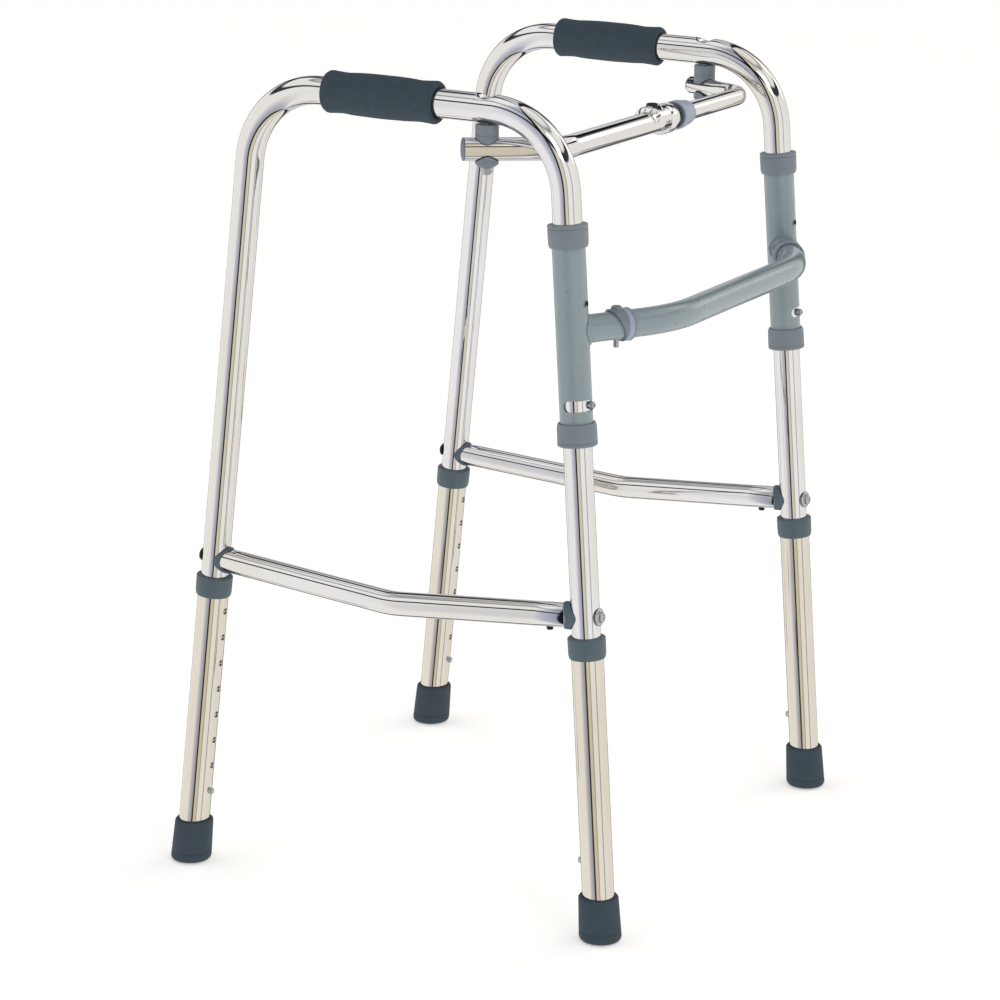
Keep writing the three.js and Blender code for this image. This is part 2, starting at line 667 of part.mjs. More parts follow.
// The path of the lower cross bar's middle, from the left stub to the right one.
function lowerPath() {
  const reach = LOWER_BAR_FORWARD / Math.cos(radians(LOWER_ARM_ANGLE));
  const corner = SLEEVE_CENTRE.clone().addScaledVector(LOWER_ARM, reach);
  const start = SLEEVE_CENTRE.clone().addScaledVector(LOWER_ARM, STUB_LONG + TOUCH_GAP);
  const mirrored = (p) => new THREE.Vector3(-p.x, p.y, p.z);
  return new BentPath([start, corner, mirrored(corner), mirrored(start)], LOWER_BEND_R, 5);
}

function lowerCrossBar() {
  return tube(lowerPath(), LOWER_BAR_R, LOWER_BORE_R);
}

function pinFrame() {
  const origin = SLEEVE_CENTRE.clone().addScaledVector(LOWER_ARM, PIN_FROM_SLEEVE);
  return frameAt(origin, UP, LOWER_ARM);
}

// The stepped hole of the snap pin: wide above for its head, narrow below for its shank.
function pinDrill() {
  return turned([
    [0, -2 * LOWER_BAR_R], [PIN_R + TOUCH_GAP, -2 * LOWER_BAR_R], [PIN_R + TOUCH_GAP, 0],
    [PIN_HEAD_R + TOUCH_GAP, 0], [PIN_HEAD_R + TOUCH_GAP, 2 * LOWER_BAR_R],
    [0, 2 * LOWER_BAR_R],
  ], BORE_SIDES, pinFrame());
}

// Ring that ties the bar to the stub; its outboard edge slants out over the pin.
function stubRing() {
  const bore = LOWER_BAR_R + TOUCH_GAP;
  const outer = bore + RING_WALL;
  const band = outer - BAND_DEEP;
  const start = RING_TOP_START - 8;
  const end = RING_INNER_END;
  const body = turned([
    [bore, start], [outer, start], [outer, RING_LOW_START + RIM_WIDE / 2],
    [band, RING_LOW_START + RIM_WIDE], [band, end - RIM_WIDE], [outer, end - RIM_WIDE / 2],
    [outer, end], [bore, end], [bore, start],
  ], TUBE_SIDES, ARM_FRAME);
  const slope = Math.atan2(RING_LOW_START - RING_TOP_START, 2 * outer);
  const away = new THREE.Matrix4().makeRotationY(slope)
    .setPosition(0, 0, (RING_LOW_START + RING_TOP_START) / 2);
  const cutter = box(80, 80, 60, away.multiply(shifted(0, 0, -30)).premultiply(ARM_FRAME));
  return body.subtract(cutter).subtract(pinDrill());
}

function stubPin() {
  const seat = LOWER_BAR_R - 1;
  const top = LOWER_BAR_R + TOUCH_GAP + RING_WALL + PIN_HEAD_PROUD;
  return turned([
    [0, -LOWER_BAR_R - PIN_BELOW], [PIN_R - 0.7, -LOWER_BAR_R - PIN_BELOW],
    [PIN_R, -LOWER_BAR_R - PIN_BELOW + 1], [PIN_R, seat], [PIN_HEAD_R, seat],
    [PIN_HEAD_R, top - PIN_HEAD_PROUD], [PIN_HEAD_R * 0.8, top - PIN_HEAD_PROUD * 0.3],
    [0, top],
  ], BORE_SIDES, pinFrame());
}

// ---- Upper cross bar ------------------------------------------------------------------------

// Centre line of half an upper bar, from its closed end past the bolt to a station across.
function upperPath(across) {
  const reach = UPPER_BAR_FORWARD / Math.cos(radians(UPPER_ARM_ANGLE));
  const tail = UPPER_PIVOT.clone().addScaledVector(UPPER_ARM, -UPPER_TAIL);
  const corner = UPPER_PIVOT.clone().addScaledVector(UPPER_ARM, reach);
  const end = new THREE.Vector3(across, UPPER_LINE, UPPER_BAR_Z);
  return new BentPath([tail, corner, end], UPPER_BEND_R);
}

function boltDrill() {
  return rod(BOLT_HOLE_R, -60, 60, SMALL_SIDES, frameAt(UPPER_PIVOT, UP, UPPER_ARM));
}

function upperBar(radius, across) {
  return tube(upperPath(across), radius, radius - UPPER_WALL).subtract(boltDrill());
}

function upperEndCap(radius) {
  const tail = UPPER_PIVOT.clone().addScaledVector(UPPER_ARM, -UPPER_TAIL);
  const plug = insideBore(radius - UPPER_WALL);
  return turned([
    [0, -6], [plug, -6], [plug, TOUCH_GAP], [radius, TOUCH_GAP], [radius, 1.6],
    [radius - 1.6, END_CAP_LONG], [0, END_CAP_LONG + 0.6],
  ], TUBE_SIDES, frameAt(tail, UPPER_ARM.clone().negate(), UP));
}

// A tool that clears an upper bar half's tube at the bolt.
function upperBarCutter(radius) {
  return rod(radius + TOUCH_GAP, -40, 40, TUBE_SIDES, frameAt(UPPER_PIVOT, UPPER_ARM, UP));
}

function pivotSpacer(radius) {
  const top = UPPER_BAR_DROP - TUBE_R - SPACER_TOP_GAP;
  return rod(SPACER_R, 0, top, TUBE_SIDES, frameAt(UPPER_PIVOT, UP, UPPER_ARM))
    .subtract(upperBarCutter(radius)).subtract(boltDrill());
}

// Lens-shaped saddle under the bar, which the nut pulls up.
function pivotSaddle(radius) {
  const lens = turned([
    [0, -radius - 5], [SADDLE_LONG * 0.28, -radius - 5], [SADDLE_LONG / 2, -radius],
    [SADDLE_LONG / 2, -radius + SADDLE_TALL - 5], [0, -radius + SADDLE_TALL - 5],
  ], TUBE_SIDES, frameAt(UPPER_PIVOT, UP, UPPER_ARM));
  const strip = box(2 * radius, 60, 80, frameAt(UPPER_PIVOT, UP,
    new THREE.Vector3().crossVectors(UP, UPPER_ARM)));
  return lens.intersect(strip).subtract(upperBarCutter(radius)).subtract(boltDrill());
}

function pivotBolt(radius) {
  const placed = frameAt(PIVOT, UP, TOP_ALONG);
  const seat = TUBE_R - DIMPLE_DEEP + TOUCH_GAP + 0.3;
  const end = -UPPER_BAR_DROP - radius - 5 - NUT_TALL + 2;
  return turned([
    [0, end], [BOLT_R, end], [BOLT_R, seat], [BOLT_HEAD_R, seat],
    [BOLT_HEAD_R, seat + BOLT_HEAD_TALL * 0.5], [BOLT_HEAD_R * 0.7, seat + BOLT_HEAD_TALL],
    [0, seat + BOLT_HEAD_TALL + 0.3],
  ], BORE_SIDES, placed);
}

// Domed hex nut on the end of the pivot bolt.
function pivotNut(radius) {
  const placed = frameAt(UPPER_PIVOT, UP.clone().negate(), UPPER_ARM);
  const top = radius + 5 + TOUCH_GAP;
  const bore = BOLT_R + 0.25;
  const body = turned([
    [0, top], [NUT_R, top], [NUT_R, top + NUT_TALL * 0.6], [NUT_R * 0.6, top + NUT_TALL],
    [0, top + NUT_TALL],
  ], 6, placed);
  return body.subtract(rod(bore, top - 1, top + NUT_TALL - 1.4, SMALL_SIDES, placed));
}

// ---- Middle latch ---------------------------------------------------------------------------

// A frame on the upper bar's middle run, Z pointing left along the bar and X up.
const LATCH_FRAME = frameAt(new THREE.Vector3(0, UPPER_LINE, UPPER_BAR_Z), ACROSS, UP);

function latchHousing() {
  const bore = LATCH_HALF_R + TOUCH_GAP;
  const sealing = ring(bore, LATCH_RING_R, RING_START, RING_END, TUBE_SIDES, LATCH_FRAME);
  const hood = turned([
    [0, HOOD_START], [HOOD_R - 3, HOOD_START], [HOOD_R, HOOD_START + 6],
    [HOOD_R, RING_START - 1], [LATCH_RING_R - 1, RING_START + 2], [0, RING_START + 2],
  ], TUBE_SIDES, LATCH_FRAME);
  const under = box(60, 60, 80, shifted(-30 + 1, 0, 0).premultiply(LATCH_FRAME));
  const clear = rod(bore, HOOD_START - 1, RING_END + 1, TUBE_SIDES, LATCH_FRAME);
  const window = rod(LATCH_BUTTON_R + TOUCH_GAP, 0, 30, BORE_SIDES, latchButtonFrame());
  return hood.subtract(under).subtract(clear).add(sealing).subtract(window);
}

function latchButtonFrame() {
  return frameAt(new THREE.Vector3(LATCH_BUTTON_AT, UPPER_LINE, UPPER_BAR_Z), UP, ACROSS);
}

function latchButton() {
  const top = HOOD_R + LATCH_BUTTON_PROUD;
  const tall = top - LATCH_HALF_R - 3.2;
  return turned([
    [0, top - tall], [LATCH_BUTTON_R, top - tall], [LATCH_BUTTON_R, top - 0.8],
    [LATCH_BUTTON_R - 0.8, top], [0, top],
  ], BORE_SIDES, latchButtonFrame());
}

function plugBush() {
  const bore = PLUG_HALF_R + TOUCH_GAP;
  const nose = LATCH_HALF_R - 0.8;
  return turned([
    [0, NOSE_START], [nose - 1, NOSE_START], [nose, NOSE_START + 1], [nose, BUSH_START],
    [BUSH_R, BUSH_START], [BUSH_R, BUSH_START + 11], [bore + 2.4, BUSH_END - 1],
    [bore + 1.4, BUSH_END], [bore, BUSH_END], [bore, BUSH_START + 4], [0, BUSH_START + 4],
  ], TUBE_SIDES, LATCH_FRAME);
}

// ---- Assembly -------------------------------------------------------------------------------

const FINISHES = {
  bright: { color: 0xd9dade, roughness: 0.18, metalness: 1 },
  champagne: { color: 0xc9c2b4, roughness: 0.38, metalness: 0.9 },
  greyPaint: { color: 0x7f8e90, roughness: 0.3, metalness: 0.2 },
  greyPlastic: { color: 0x7a838c, roughness: 0.45, metalness: 0 },
  lilacPlastic: { color: 0xa9afbf, roughness: 0.4, metalness: 0 },
  slatePlastic: { color: 0x4c5b64, roughness: 0.5, metalness: 0 },
  rubber: { color: 0x44505a, roughness: 0.75, metalness: 0 },
  foam: { color: 0x3f4a53, roughness: 0.95, metalness: 0 },
  steel: { color: 0xb4b8bb, roughness: 0.28, metalness: 1 },
  darkSteel: { color: 0x3a3d40, roughness: 0.4, metalness: 0.8 },
};

const walkingFrame = new THREE.Group();
walkingFrame.name = "walking_frame";

function addPiece(name, solid, finish) {
  const made = solid.getMesh();
  const geometry = new THREE.BufferGeometry();
  geometry.setAttribute("position", new THREE.BufferAttribute(
    Float32Array.from(made.vertProperties), made.numProp));
  geometry.setIndex(new THREE.BufferAttribute(Uint32Array.from(made.triVerts), 1));
  geometry.computeVertexNormals();
  const mesh = new THREE.Mesh(geometry, new THREE.MeshStandardMaterial(FINISHES[finish]));
  mesh.name = name;
  walkingFrame.add(mesh);
}

function addPair(name, solid, finish) {
  addPiece(`left_${name}`, solid, finish);
  addPiece(`right_${name}`, solid.mirror([1, 0, 0]), finish);
}

// Both sides of a piece of the upper bar, whose two halves differ in diameter.
function addUpperPair(name, build, finish) {
  addPiece(`left_${name}`, build(PLUG_HALF_R), finish);
  addPiece(`right_${name}`, build(LATCH_HALF_R).mirror([1, 0, 0]), finish);
}

addPair("side_tube", sideTube(), "bright");
addPair("grip", grip(), "foam");
addPair("side_bar", sideBar(), "bright");
addPair("side_bar_front_saddle", barSaddle("front", FRONT_SADDLE), "slatePlastic");
addPair("side_bar_rear_saddle", barSaddle("rear", REAR_SADDLE), "slatePlastic");
addPair("side_bar_snap_pin", sideBarPin(), "darkSteel");
addPair("front_screw", frontScrew(), "steel");
addPair("rear_bolt", rearBolt(), "darkSteel");
addPair("limit_screw", limitScrew(), "steel");
for (const end of ["front", "rear"]) {
  addPair(`${end}_leg_tube`, legTube(end), "champagne");
  addPair(`${end}_leg_collar`, legCollar(end), "slatePlastic");
  addPair(`${end}_foot`, foot(end), "rubber");
  addPair(`${end}_leg_clip`, legClip(end), "steel");
}
addPair("sleeve", sleeve(), "greyPaint");
addPair("sleeve_top_collar", sleeveCollar(SLEEVE_TOP_Z, true), "greyPlastic");
addPair("sleeve_bottom_collar", sleeveCollar(SLEEVE_LOW_Z, false), "greyPlastic");
addPair("stub_ring", stubRing(), "lilacPlastic");
addPair("stub_snap_pin", stubPin(), "steel");
addPiece("lower_cross_bar", lowerCrossBar(), "greyPaint");
addPiece("left_upper_bar", upperBar(PLUG_HALF_R, BUSH_START + 6), "bright");
addPiece("right_upper_bar", upperBar(LATCH_HALF_R, -LATCH_TUBE_END).mirror([1, 0, 0]),
  "bright");
addUpperPair("upper_bar_end_cap", upperEndCap, "greyPlastic");
addUpperPair("pivot_spacer", pivotSpacer, "greyPlastic");
addUpperPair("pivot_saddle", pivotSaddle, "greyPlastic");
addUpperPair("pivot_bolt", pivotBolt, "steel");
addUpperPair("pivot_nut", pivotNut, "steel");
addPiece("latch_housing", latchHousing(), "bright");
addPiece("latch_button", latchButton(), "darkSteel");
addPiece("plug_bush", plugBush(), "lilacPlastic");

export default walkingFrame;
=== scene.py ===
"""Folding walking frame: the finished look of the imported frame, as an add-on run as a script."""

import json
import math

import bmesh
import bpy
import numpy as np
from mathutils import Matrix

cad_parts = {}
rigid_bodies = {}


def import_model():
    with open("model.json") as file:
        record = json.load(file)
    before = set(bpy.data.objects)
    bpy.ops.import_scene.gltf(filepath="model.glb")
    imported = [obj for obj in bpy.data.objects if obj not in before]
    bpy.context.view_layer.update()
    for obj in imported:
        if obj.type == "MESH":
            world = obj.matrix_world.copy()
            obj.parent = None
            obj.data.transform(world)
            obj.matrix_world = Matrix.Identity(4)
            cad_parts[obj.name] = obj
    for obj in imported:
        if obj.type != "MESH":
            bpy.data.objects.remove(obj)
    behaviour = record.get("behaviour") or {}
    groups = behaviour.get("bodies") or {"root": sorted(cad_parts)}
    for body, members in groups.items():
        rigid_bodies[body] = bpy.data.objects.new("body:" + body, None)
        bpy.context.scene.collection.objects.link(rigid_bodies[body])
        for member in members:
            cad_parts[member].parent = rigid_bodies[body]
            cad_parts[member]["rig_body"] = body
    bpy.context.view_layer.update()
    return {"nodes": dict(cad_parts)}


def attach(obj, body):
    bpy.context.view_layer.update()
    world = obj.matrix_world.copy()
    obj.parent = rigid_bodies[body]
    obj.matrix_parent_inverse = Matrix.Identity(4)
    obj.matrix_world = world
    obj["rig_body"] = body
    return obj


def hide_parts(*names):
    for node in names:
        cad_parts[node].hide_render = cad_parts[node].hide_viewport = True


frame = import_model()

bl_info = {
    "name": "Folding walking frame",
    "version": (1, 0, 0),
    "blender": (4, 5, 0),
    "location": "3D View > Sidebar > Walking frame",
    "description": "Builds the tubes, joints, grips, feet and fittings of a folding walking frame",
    "category": "Object",
}

MM = 0.001
UP = np.array([0.0, 0.0, 1.0])
ACROSS = np.array([1.0, 0.0, 0.0])
FORWARD = np.array([0.0, -1.0, 0.0])
SIDES = ("left", "right")
ENDS = ("front", "rear")

# Fixed distances of the layout, in millimetres; angles in degrees.
TUBE_R = 12.7
BOLT_BACK = 72  # pivot bolt behind the front top corner
UPPER_DROP = 35  # upper bar under the side tube
UPPER_ANGLE, UPPER_FORWARD = 31, 55
LOWER_ANGLE, LOWER_FORWARD = 59.5, 53.5
STUB_DROP = 182.4  # stub under the front top corner
BAR_FRONT_Z, BAR_REAR_Z = 295, 298
BAR_KNEE = np.array([7, 0, -14.5])  # the side bar's knee, out and down from a straight bar
COLLAR_Z = {"front": 267.4, "rear": 271.8}
SLEEVE_TOP_Z, SLEEVE_LOW_Z = 627.8, 456.5
SIGHT_Z, STOP_Z = 569.8, 482
GRIP_FRONT_GAP, GRIP_REAR_GAP = 53, 7  # from where the top run turns straight
HOLES, HOLE_PITCH = 8, 25.4
BUTTON_Z = 72


# ---- Settings -------------------------------------------------------------------------------


def size(name, default, about):
    """A length in metres, given here in millimetres."""
    return bpy.props.FloatProperty(
        name=name, description=about, default=default * MM, unit="LENGTH", subtype="DISTANCE"
    )


class StanceSizes(bpy.types.PropertyGroup):
    """Where the legs stand and how the frame leans."""

    width: size("Width", 470, "Between the left and right leg axes on the floor")
    front: size("Front", -210.378, "Front leg axes on the floor, behind the origin")
    rear: size("Rear", 219.622, "Rear leg axes on the floor, behind the origin")
    top: size("Top", 728.4, "Tube centre line at the front top corner")
    rise: size("Rise", 8, "The rear top corner stands this much higher")
    bend: size("Bend", 72, "Radius of the two top bends")
    side_lean: bpy.props.FloatProperty(
        name="Side lean", description="How far a side leans in, for each length of height",
        default=0.0139)
    front_lean: bpy.props.FloatProperty(
        name="Front lean", description="How far a front leg leans back for its height",
        default=0.0686)
    rear_lean: bpy.props.FloatProperty(
        name="Rear lean", description="How far a rear leg leans forward for its height",
        default=0.1057)


class TubeSizes(bpy.types.PropertyGroup):
    """Outer radii of the tubes and of what rides on them."""

    frame: size("Frame tube", 12.7, "Outer radius of the bent frame tube")
    leg: size("Leg tube", 14.3, "Outer radius of the leg extensions")
    sleeve: size("Sleeve", 14.4, "Outer radius of the swivel sleeves")
    side_bar: size("Side bar", 11.1, "Outer radius of the side bars")
    lower_bar: size("Lower bar", 12.4, "Outer radius of the lower cross bar")
    thick_half: size("Thick half", 10.2, "Outer radius of the upper bar's latch half")
    thin_half: size("Thin half", 8.6, "Outer radius of the upper bar's plug half")
    foot: size("Foot", 19.1, "Outer radius of a rubber foot at its sole")
    grip: size("Grip", 19.1, "Radius of a foam grip at its fullest")


def mm(settings, name):
    """One of the settings' lengths in millimetres."""
    return getattr(settings, name) / MM


# ---- Layout of one side, in millimetres; every piece is laid out on the left --------------------


def unit(v):
    """The direction of a vector."""
    return v / np.linalg.norm(v)


class Layout:
    """The lines and corners that the pieces of the left side hang on."""

    def __init__(self, stance):
        self.s = stance
        self.front_corner = self.leg("front", mm(stance, "top"))
        self.rear_corner = self.leg("rear", mm(stance, "top") + mm(stance, "rise"))
        self.top_along = unit(self.rear_corner - self.front_corner)
        self.top_up = unit(np.cross(ACROSS, self.top_along))
        self.pivot = self.front_corner + BOLT_BACK * self.top_along
        self.upper = self.pivot - UPPER_DROP * UP
        self.arm = self.inboard(UPPER_ANGLE)
        self.upper_line = self.upper[1] - UPPER_FORWARD
        self.lower_arm = self.inboard(LOWER_ANGLE)
        self.stub = self.leg("front", mm(stance, "top") - STUB_DROP)
        self.bar_front = self.leg("front", BAR_FRONT_Z)
        self.bar_rear = self.leg("rear", BAR_REAR_Z)
        middle = (self.bar_front + self.bar_rear) / 2
        self.bar_middle = middle + BAR_KNEE

    def leg(self, end, z):
        """The point of a leg's axis at a height."""
        s = self.s
        y = mm(s, "front") + s.front_lean * z if end == "front" else mm(s, "rear") - s.rear_lean * z
        return np.array([mm(s, "width") / 2 - s.side_lean * z, y, z])

    def up(self, end):
        """The direction up a leg."""
        return unit(self.leg(end, 1) - self.leg(end, 0))

    def partner(self, end):
        """The direction square to a leg, towards the other leg of its side."""
        other = "rear" if end == "front" else "front"
        across = self.leg(other, 0) - self.leg(end, 0)
        return unit(across - self.up(end) * across.dot(self.up(end)))

    def inboard(self, degrees):
        """A level direction turned in from straight forward."""
        angle = math.radians(degrees)
        return np.array([-math.sin(angle), -math.cos(angle), 0.0])


def axes(origin, along, facing):
    """Origin and the three directions of a frame whose Z runs along and whose X faces."""
    z = unit(np.asarray(along, float))
    x = unit(facing - z * np.dot(facing, z))
    return np.asarray(origin, float), x, np.cross(z, x), z


# ---- Surfaces: rows of closed rings, the last point of a ring on its first ----------------------


def put(local, place):
    """Local points carried into a frame: origin + x X + y Y + z Z."""
    origin, x, y, z = place
    return origin + local[..., :1] * x + local[..., 1:2] * y + local[..., 2:3] * z


def turned(profile, place, sides=48):
    """A profile of radius and height turned once about Z: (r cos a, r sin a, h)."""
    r, h = np.array(profile, float).T
    a = np.linspace(0, 2 * np.pi, sides + 1)
    rows = np.stack([np.outer(r, np.cos(a)), np.outer(r, np.sin(a)),
                     np.outer(h, np.ones_like(a))], axis=-1)
    return put(rows, place)


def bent(corners, radius, steps=14):
    """Centre line of straight runs joined by arcs: at a corner the arc of that radius starts
    radius tan(turn / 2) before it. Gives the points and the directions."""
    corners = [np.asarray(c, float) for c in corners]
    points, heads = [corners[0]], [unit(corners[1] - corners[0])]
    for a, b, c in zip(corners, corners[1:], corners[2:]):
        before, after = unit(b - a), unit(c - b)
        turn = math.acos(np.clip(before.dot(after), -1, 1))
        axis = unit(np.cross(before, after))
        start = b - before * radius * math.tan(turn / 2)
        out = np.cross(axis, before)
        t = np.linspace(0, turn, steps + 1)[:, None]
        points.extend(start + radius * (np.sin(t) * before + (1 - np.cos(t)) * out))
        heads.extend(np.cos(t) * before + np.sin(t) * out)
    points.append(corners[-1])
    heads.append(unit(corners[-1] - corners[-2]))
    return np.array(points), np.array(heads)


def refined(path, step):
    """The same centre line with its straight runs cut to a step."""
    points, heads = path
    out_p, out_h = [points[:1]], [heads[:1]]
    for i in range(1, len(points)):
        n = max(1, int(np.linalg.norm(points[i] - points[i - 1]) / step))
        t = (np.arange(1, n + 1) / n)[:, None]
        out_p.append(points[i - 1] + (points[i] - points[i - 1]) * t)
        h = heads[i - 1] + (heads[i] - heads[i - 1]) * t
        out_h.append(h / np.linalg.norm(h, axis=1, keepdims=True))
    return np.concatenate(out_p), np.concatenate(out_h)


def rings(path, normal, radius, sides=48):
    """Circles square to a flat centre line: p + r (cos a N + sin a T x N)."""
    points, heads = path
    a = np.linspace(0, 2 * np.pi, sides + 1)
    side = np.cross(heads, normal)
    side /= np.linalg.norm(side, axis=1, keepdims=True)
    flat = np.cross(side, heads)
    return points[:, None] + radius * (np.cos(a)[None, :, None] * flat[:, None]
                                       + np.sin(a)[None, :, None] * side[:, None])


def walled(outer, centre_rows, wall, radius):
    """A tube with a wall: the outer rings, then the bore's rings back, then the first again."""
    scale = (radius - wall) / radius
    inner = centre_rows[:, None] + (outer - centre_rows[:, None]) * scale
    return np.concatenate([outer, inner[::-1], outer[:1]])


def pipe(path, normal, radius, wall=1.2, sides=48):
    """A walled tube along a flat centre line."""
    return walled(rings(path, normal, radius, sides), path[0], wall, radius)


def onto_round(rows, which, heading, axis_point, axis, radius, gap=0.0):
    """Moves rings along a heading until each point lies on a round bar of that radius:
    |p + t d - its foot on the axis| = radius, with the larger t."""
    p = rows[which]
    d = heading - axis * heading.dot(axis)
    q = (p - axis_point) - ((p - axis_point) @ axis)[..., None] * axis
    a, b = d.dot(d), 2 * (q @ d)
    c = (q * q).sum(-1) - (radius + gap) ** 2
    root = np.sqrt(np.maximum(b * b - 4 * a * c, 0))
    rows[which] = p + ((-b + root) / (2 * a))[..., None] * heading
    return rows


def lofted(section, places):
    """One closed section (points of two lengths) carried through frames, its ends capped."""
    section = np.array(list(section) + [section[0]], float)
    rows = [o + section[:, :1] * x + section[:, 1:] * y for o, x, y, _ in places]
    first, last = rows[0][:-1].mean(0), rows[-1][:-1].mean(0)
    caps = [np.repeat(first[None], len(section), 0), np.repeat(last[None], len(section), 0)]
    return np.array([caps[0], *rows, caps[1]])


def slab(place, x, y, low, high):
    """A flat bar centred on Z between two heights."""
    half = [(-x / 2, -y / 2), (x / 2, -y / 2), (x / 2, y / 2), (-x / 2, y / 2)]
    o, ex, ey, ez = place
    return lofted(half, [(o + ez * low, ex, ey, ez), (o + ez * high, ex, ey, ez)])


def bead(centres, outward, away, radius, sides=10):
    """A round bead along a closed row of centres, lying between two directions."""
    a = np.linspace(0, 2 * np.pi, sides + 1)[None, :, None]
    ripple = 1 + 0.12 * np.sin(np.arange(len(centres)) * 2.4)[:, None, None]
    return centres[:, None] + ripple * radius * (np.cos(a) * outward[:, None]
                                                 + np.sin(a) * away[:, None])


# ---- Meshes -------------------------------------------------------------------------------------


def faces_of(rows, cols):
    """Index quads between neighbouring rows and columns of a grid."""
    i = np.arange((rows - 1) * cols).reshape(rows - 1, cols)[:, :-1]
    return np.stack([i, i + 1, i + cols + 1, i + cols], axis=-1).reshape(-1, 4)


def lengths(grid):
    """How far round and how far along each grid point lies, in metres."""
    along = np.linalg.norm(np.diff(grid, axis=0), axis=-1).mean(1)
    around = np.linalg.norm(np.diff(grid, axis=1), axis=-1).max(0)
    v = np.concatenate([[0], np.cumsum(along)]) * MM
    u = np.concatenate([[0], np.cumsum(around)]) * MM
    return np.stack(np.meshgrid(u, v), axis=-1)


def mesh_object(name, parts, mirrored, sharp=38):
    """One object from grids of points, each with its material; a mirrored one is turned over."""
    verts, faces, uvs, slots, used = [], [], [], [], []
    base = 0
    for grid, finish in parts:
        if finish not in used:
            used.append(finish)
        quads = faces_of(*grid.shape[:2])
        verts.append(grid.reshape(-1, 3))
        uvs.append(lengths(grid).reshape(-1, 2)[quads.ravel()])
        faces.append(quads + base)
        slots.append(np.full(len(quads), used.index(finish)))
        base += grid.shape[0] * grid.shape[1]
    points = np.concatenate(verts) * MM
    if mirrored:
        points[:, 0] *= -1
    quads = np.concatenate(faces)
    data = bpy.data.meshes.new(name)
    data.vertices.add(len(points))
    data.vertices.foreach_set("co", points.ravel())
    data.loops.add(quads.size)
    data.loops.foreach_set("vertex_index", quads.ravel())
    data.polygons.add(len(quads))
    data.polygons.foreach_set("loop_start", np.arange(0, quads.size, 4))
    data.polygons.foreach_set("material_index", np.concatenate(slots))
    data.update(calc_edges=True)
    data.uv_layers.new(name="skin").data.foreach_set("uv", np.concatenate(uvs).ravel())
    work = bmesh.new()
    work.from_mesh(data)
    bmesh.ops.remove_doubles(work, verts=work.verts, dist=2e-6)
    bmesh.ops.dissolve_degenerate(work, edges=work.edges, dist=1e-6)
    bmesh.ops.recalc_face_normals(work, faces=work.faces)
    work.to_mesh(data)
    work.free()
    data.shade_smooth()
    data.set_sharp_from_angle(angle=math.radians(sharp))
    for finish in used:
        data.materials.append(FINISHES[finish])
    made = bpy.data.objects.new(name, data)
    bpy.context.scene.collection.objects.link(made)
    return made


def rounded(made, width, segments=2):
    """Breaks the sharp edges of a piece."""
    bevel = made.modifiers.new("broken edges", "BEVEL")
    bevel.width = width * MM
    bevel.segments = segments
    bevel.limit_method = "ANGLE"
    bevel.angle_limit = math.radians(40)
    bevel.use_clamp_overlap = True
    return made


def fitted(node, parts, edge=0.0, **settings):
    """The finished piece that stands for one node and rides on its body."""
    made = mesh_object(node + "_skin", parts, node.startswith("right"), **settings)
    if edge:
        rounded(made, edge)
    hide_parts(node)
    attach(made, frame["nodes"][node]["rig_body"])
    return made


def pair(name, parts, edge=0.0, **settings):
    """The same piece on both sides."""
    return [fitted(f"{side}_{name}", parts, edge, **settings) for side in SIDES]


# ---- Materials ----------------------------------------------------------------------------------


def linear(colour):
    """A hex sRGB colour as linear light."""
    parts = np.array([int(colour[i : i + 2], 16) / 255 for i in (1, 3, 5)])
    light = np.where(parts <= 0.04045, parts / 12.92, ((parts + 0.055) / 1.055) ** 2.4)
    return (*light, 1.0)


def add(tree, kind, links=None, **settings):
    """A node with its settings, its number sockets by name and its links."""
    made = tree.nodes.new(kind)
    for key, value in settings.items():
        setattr(made, key, value)
    for socket, source in (links or {}).items():
        target = made.inputs[socket]
        if isinstance(source, bpy.types.NodeSocket):
            tree.links.new(source, target)
        else:
            target.default_value = source
    return made


def blended(tree, amount, low, high):
    """A colour or grey between two, by an amount from 0 to 1."""
    mix = add(tree, "ShaderNodeMix", {0: amount}, data_type="RGBA")
    mix.inputs[6].default_value = low
    mix.inputs[7].default_value = high
    return mix.outputs[2]


def ranged(tree, value, low, high):
    """A number from 0 to 1 spread between two."""
    return add(tree, "ShaderNodeMapRange", {0: value, 3: low, 4: high}).outputs[0]


def noise(tree, where, scale, detail=3.0, rough=0.5):
    """Fractal noise at a number of grains a metre."""
    links = {"Vector": where, "Scale": scale, "Detail": detail, "Roughness": rough}
    return add(tree, "ShaderNodeTexNoise", links).outputs[0]


FINISHES = {}


def surface(slot, name, shader, build):
    """A material whose shader's constants are set first, then its patterns linked by build."""
    made = FINISHES[slot] = bpy.data.materials.new(name)
    made.use_nodes = True
    tree = made.node_tree
    bsdf = tree.nodes["Principled BSDF"]
    for socket, value in shader.items():
        bsdf.inputs[socket].default_value = value
    skin = add(tree, "ShaderNodeUVMap", uv_map="skin").outputs[0]
    whole = add(tree, "ShaderNodeTexCoord").outputs["Object"]
    for socket, source in build(tree, skin, whole).items():
        tree.links.new(source, bsdf.inputs[socket])
    return made


def stretched(tree, vector, x, y):
    """Coordinates scaled so that a pattern runs long one way."""
    return add(tree, "ShaderNodeMapping", {"Vector": vector, "Scale": (x, y, 1)}).outputs[0]


def bumped(tree, height, strength, distance):
    """A normal from a height in millimetres."""
    links = {"Height": height, "Strength": strength, "Distance": distance * MM}
    return add(tree, "ShaderNodeBump", links).outputs[0]


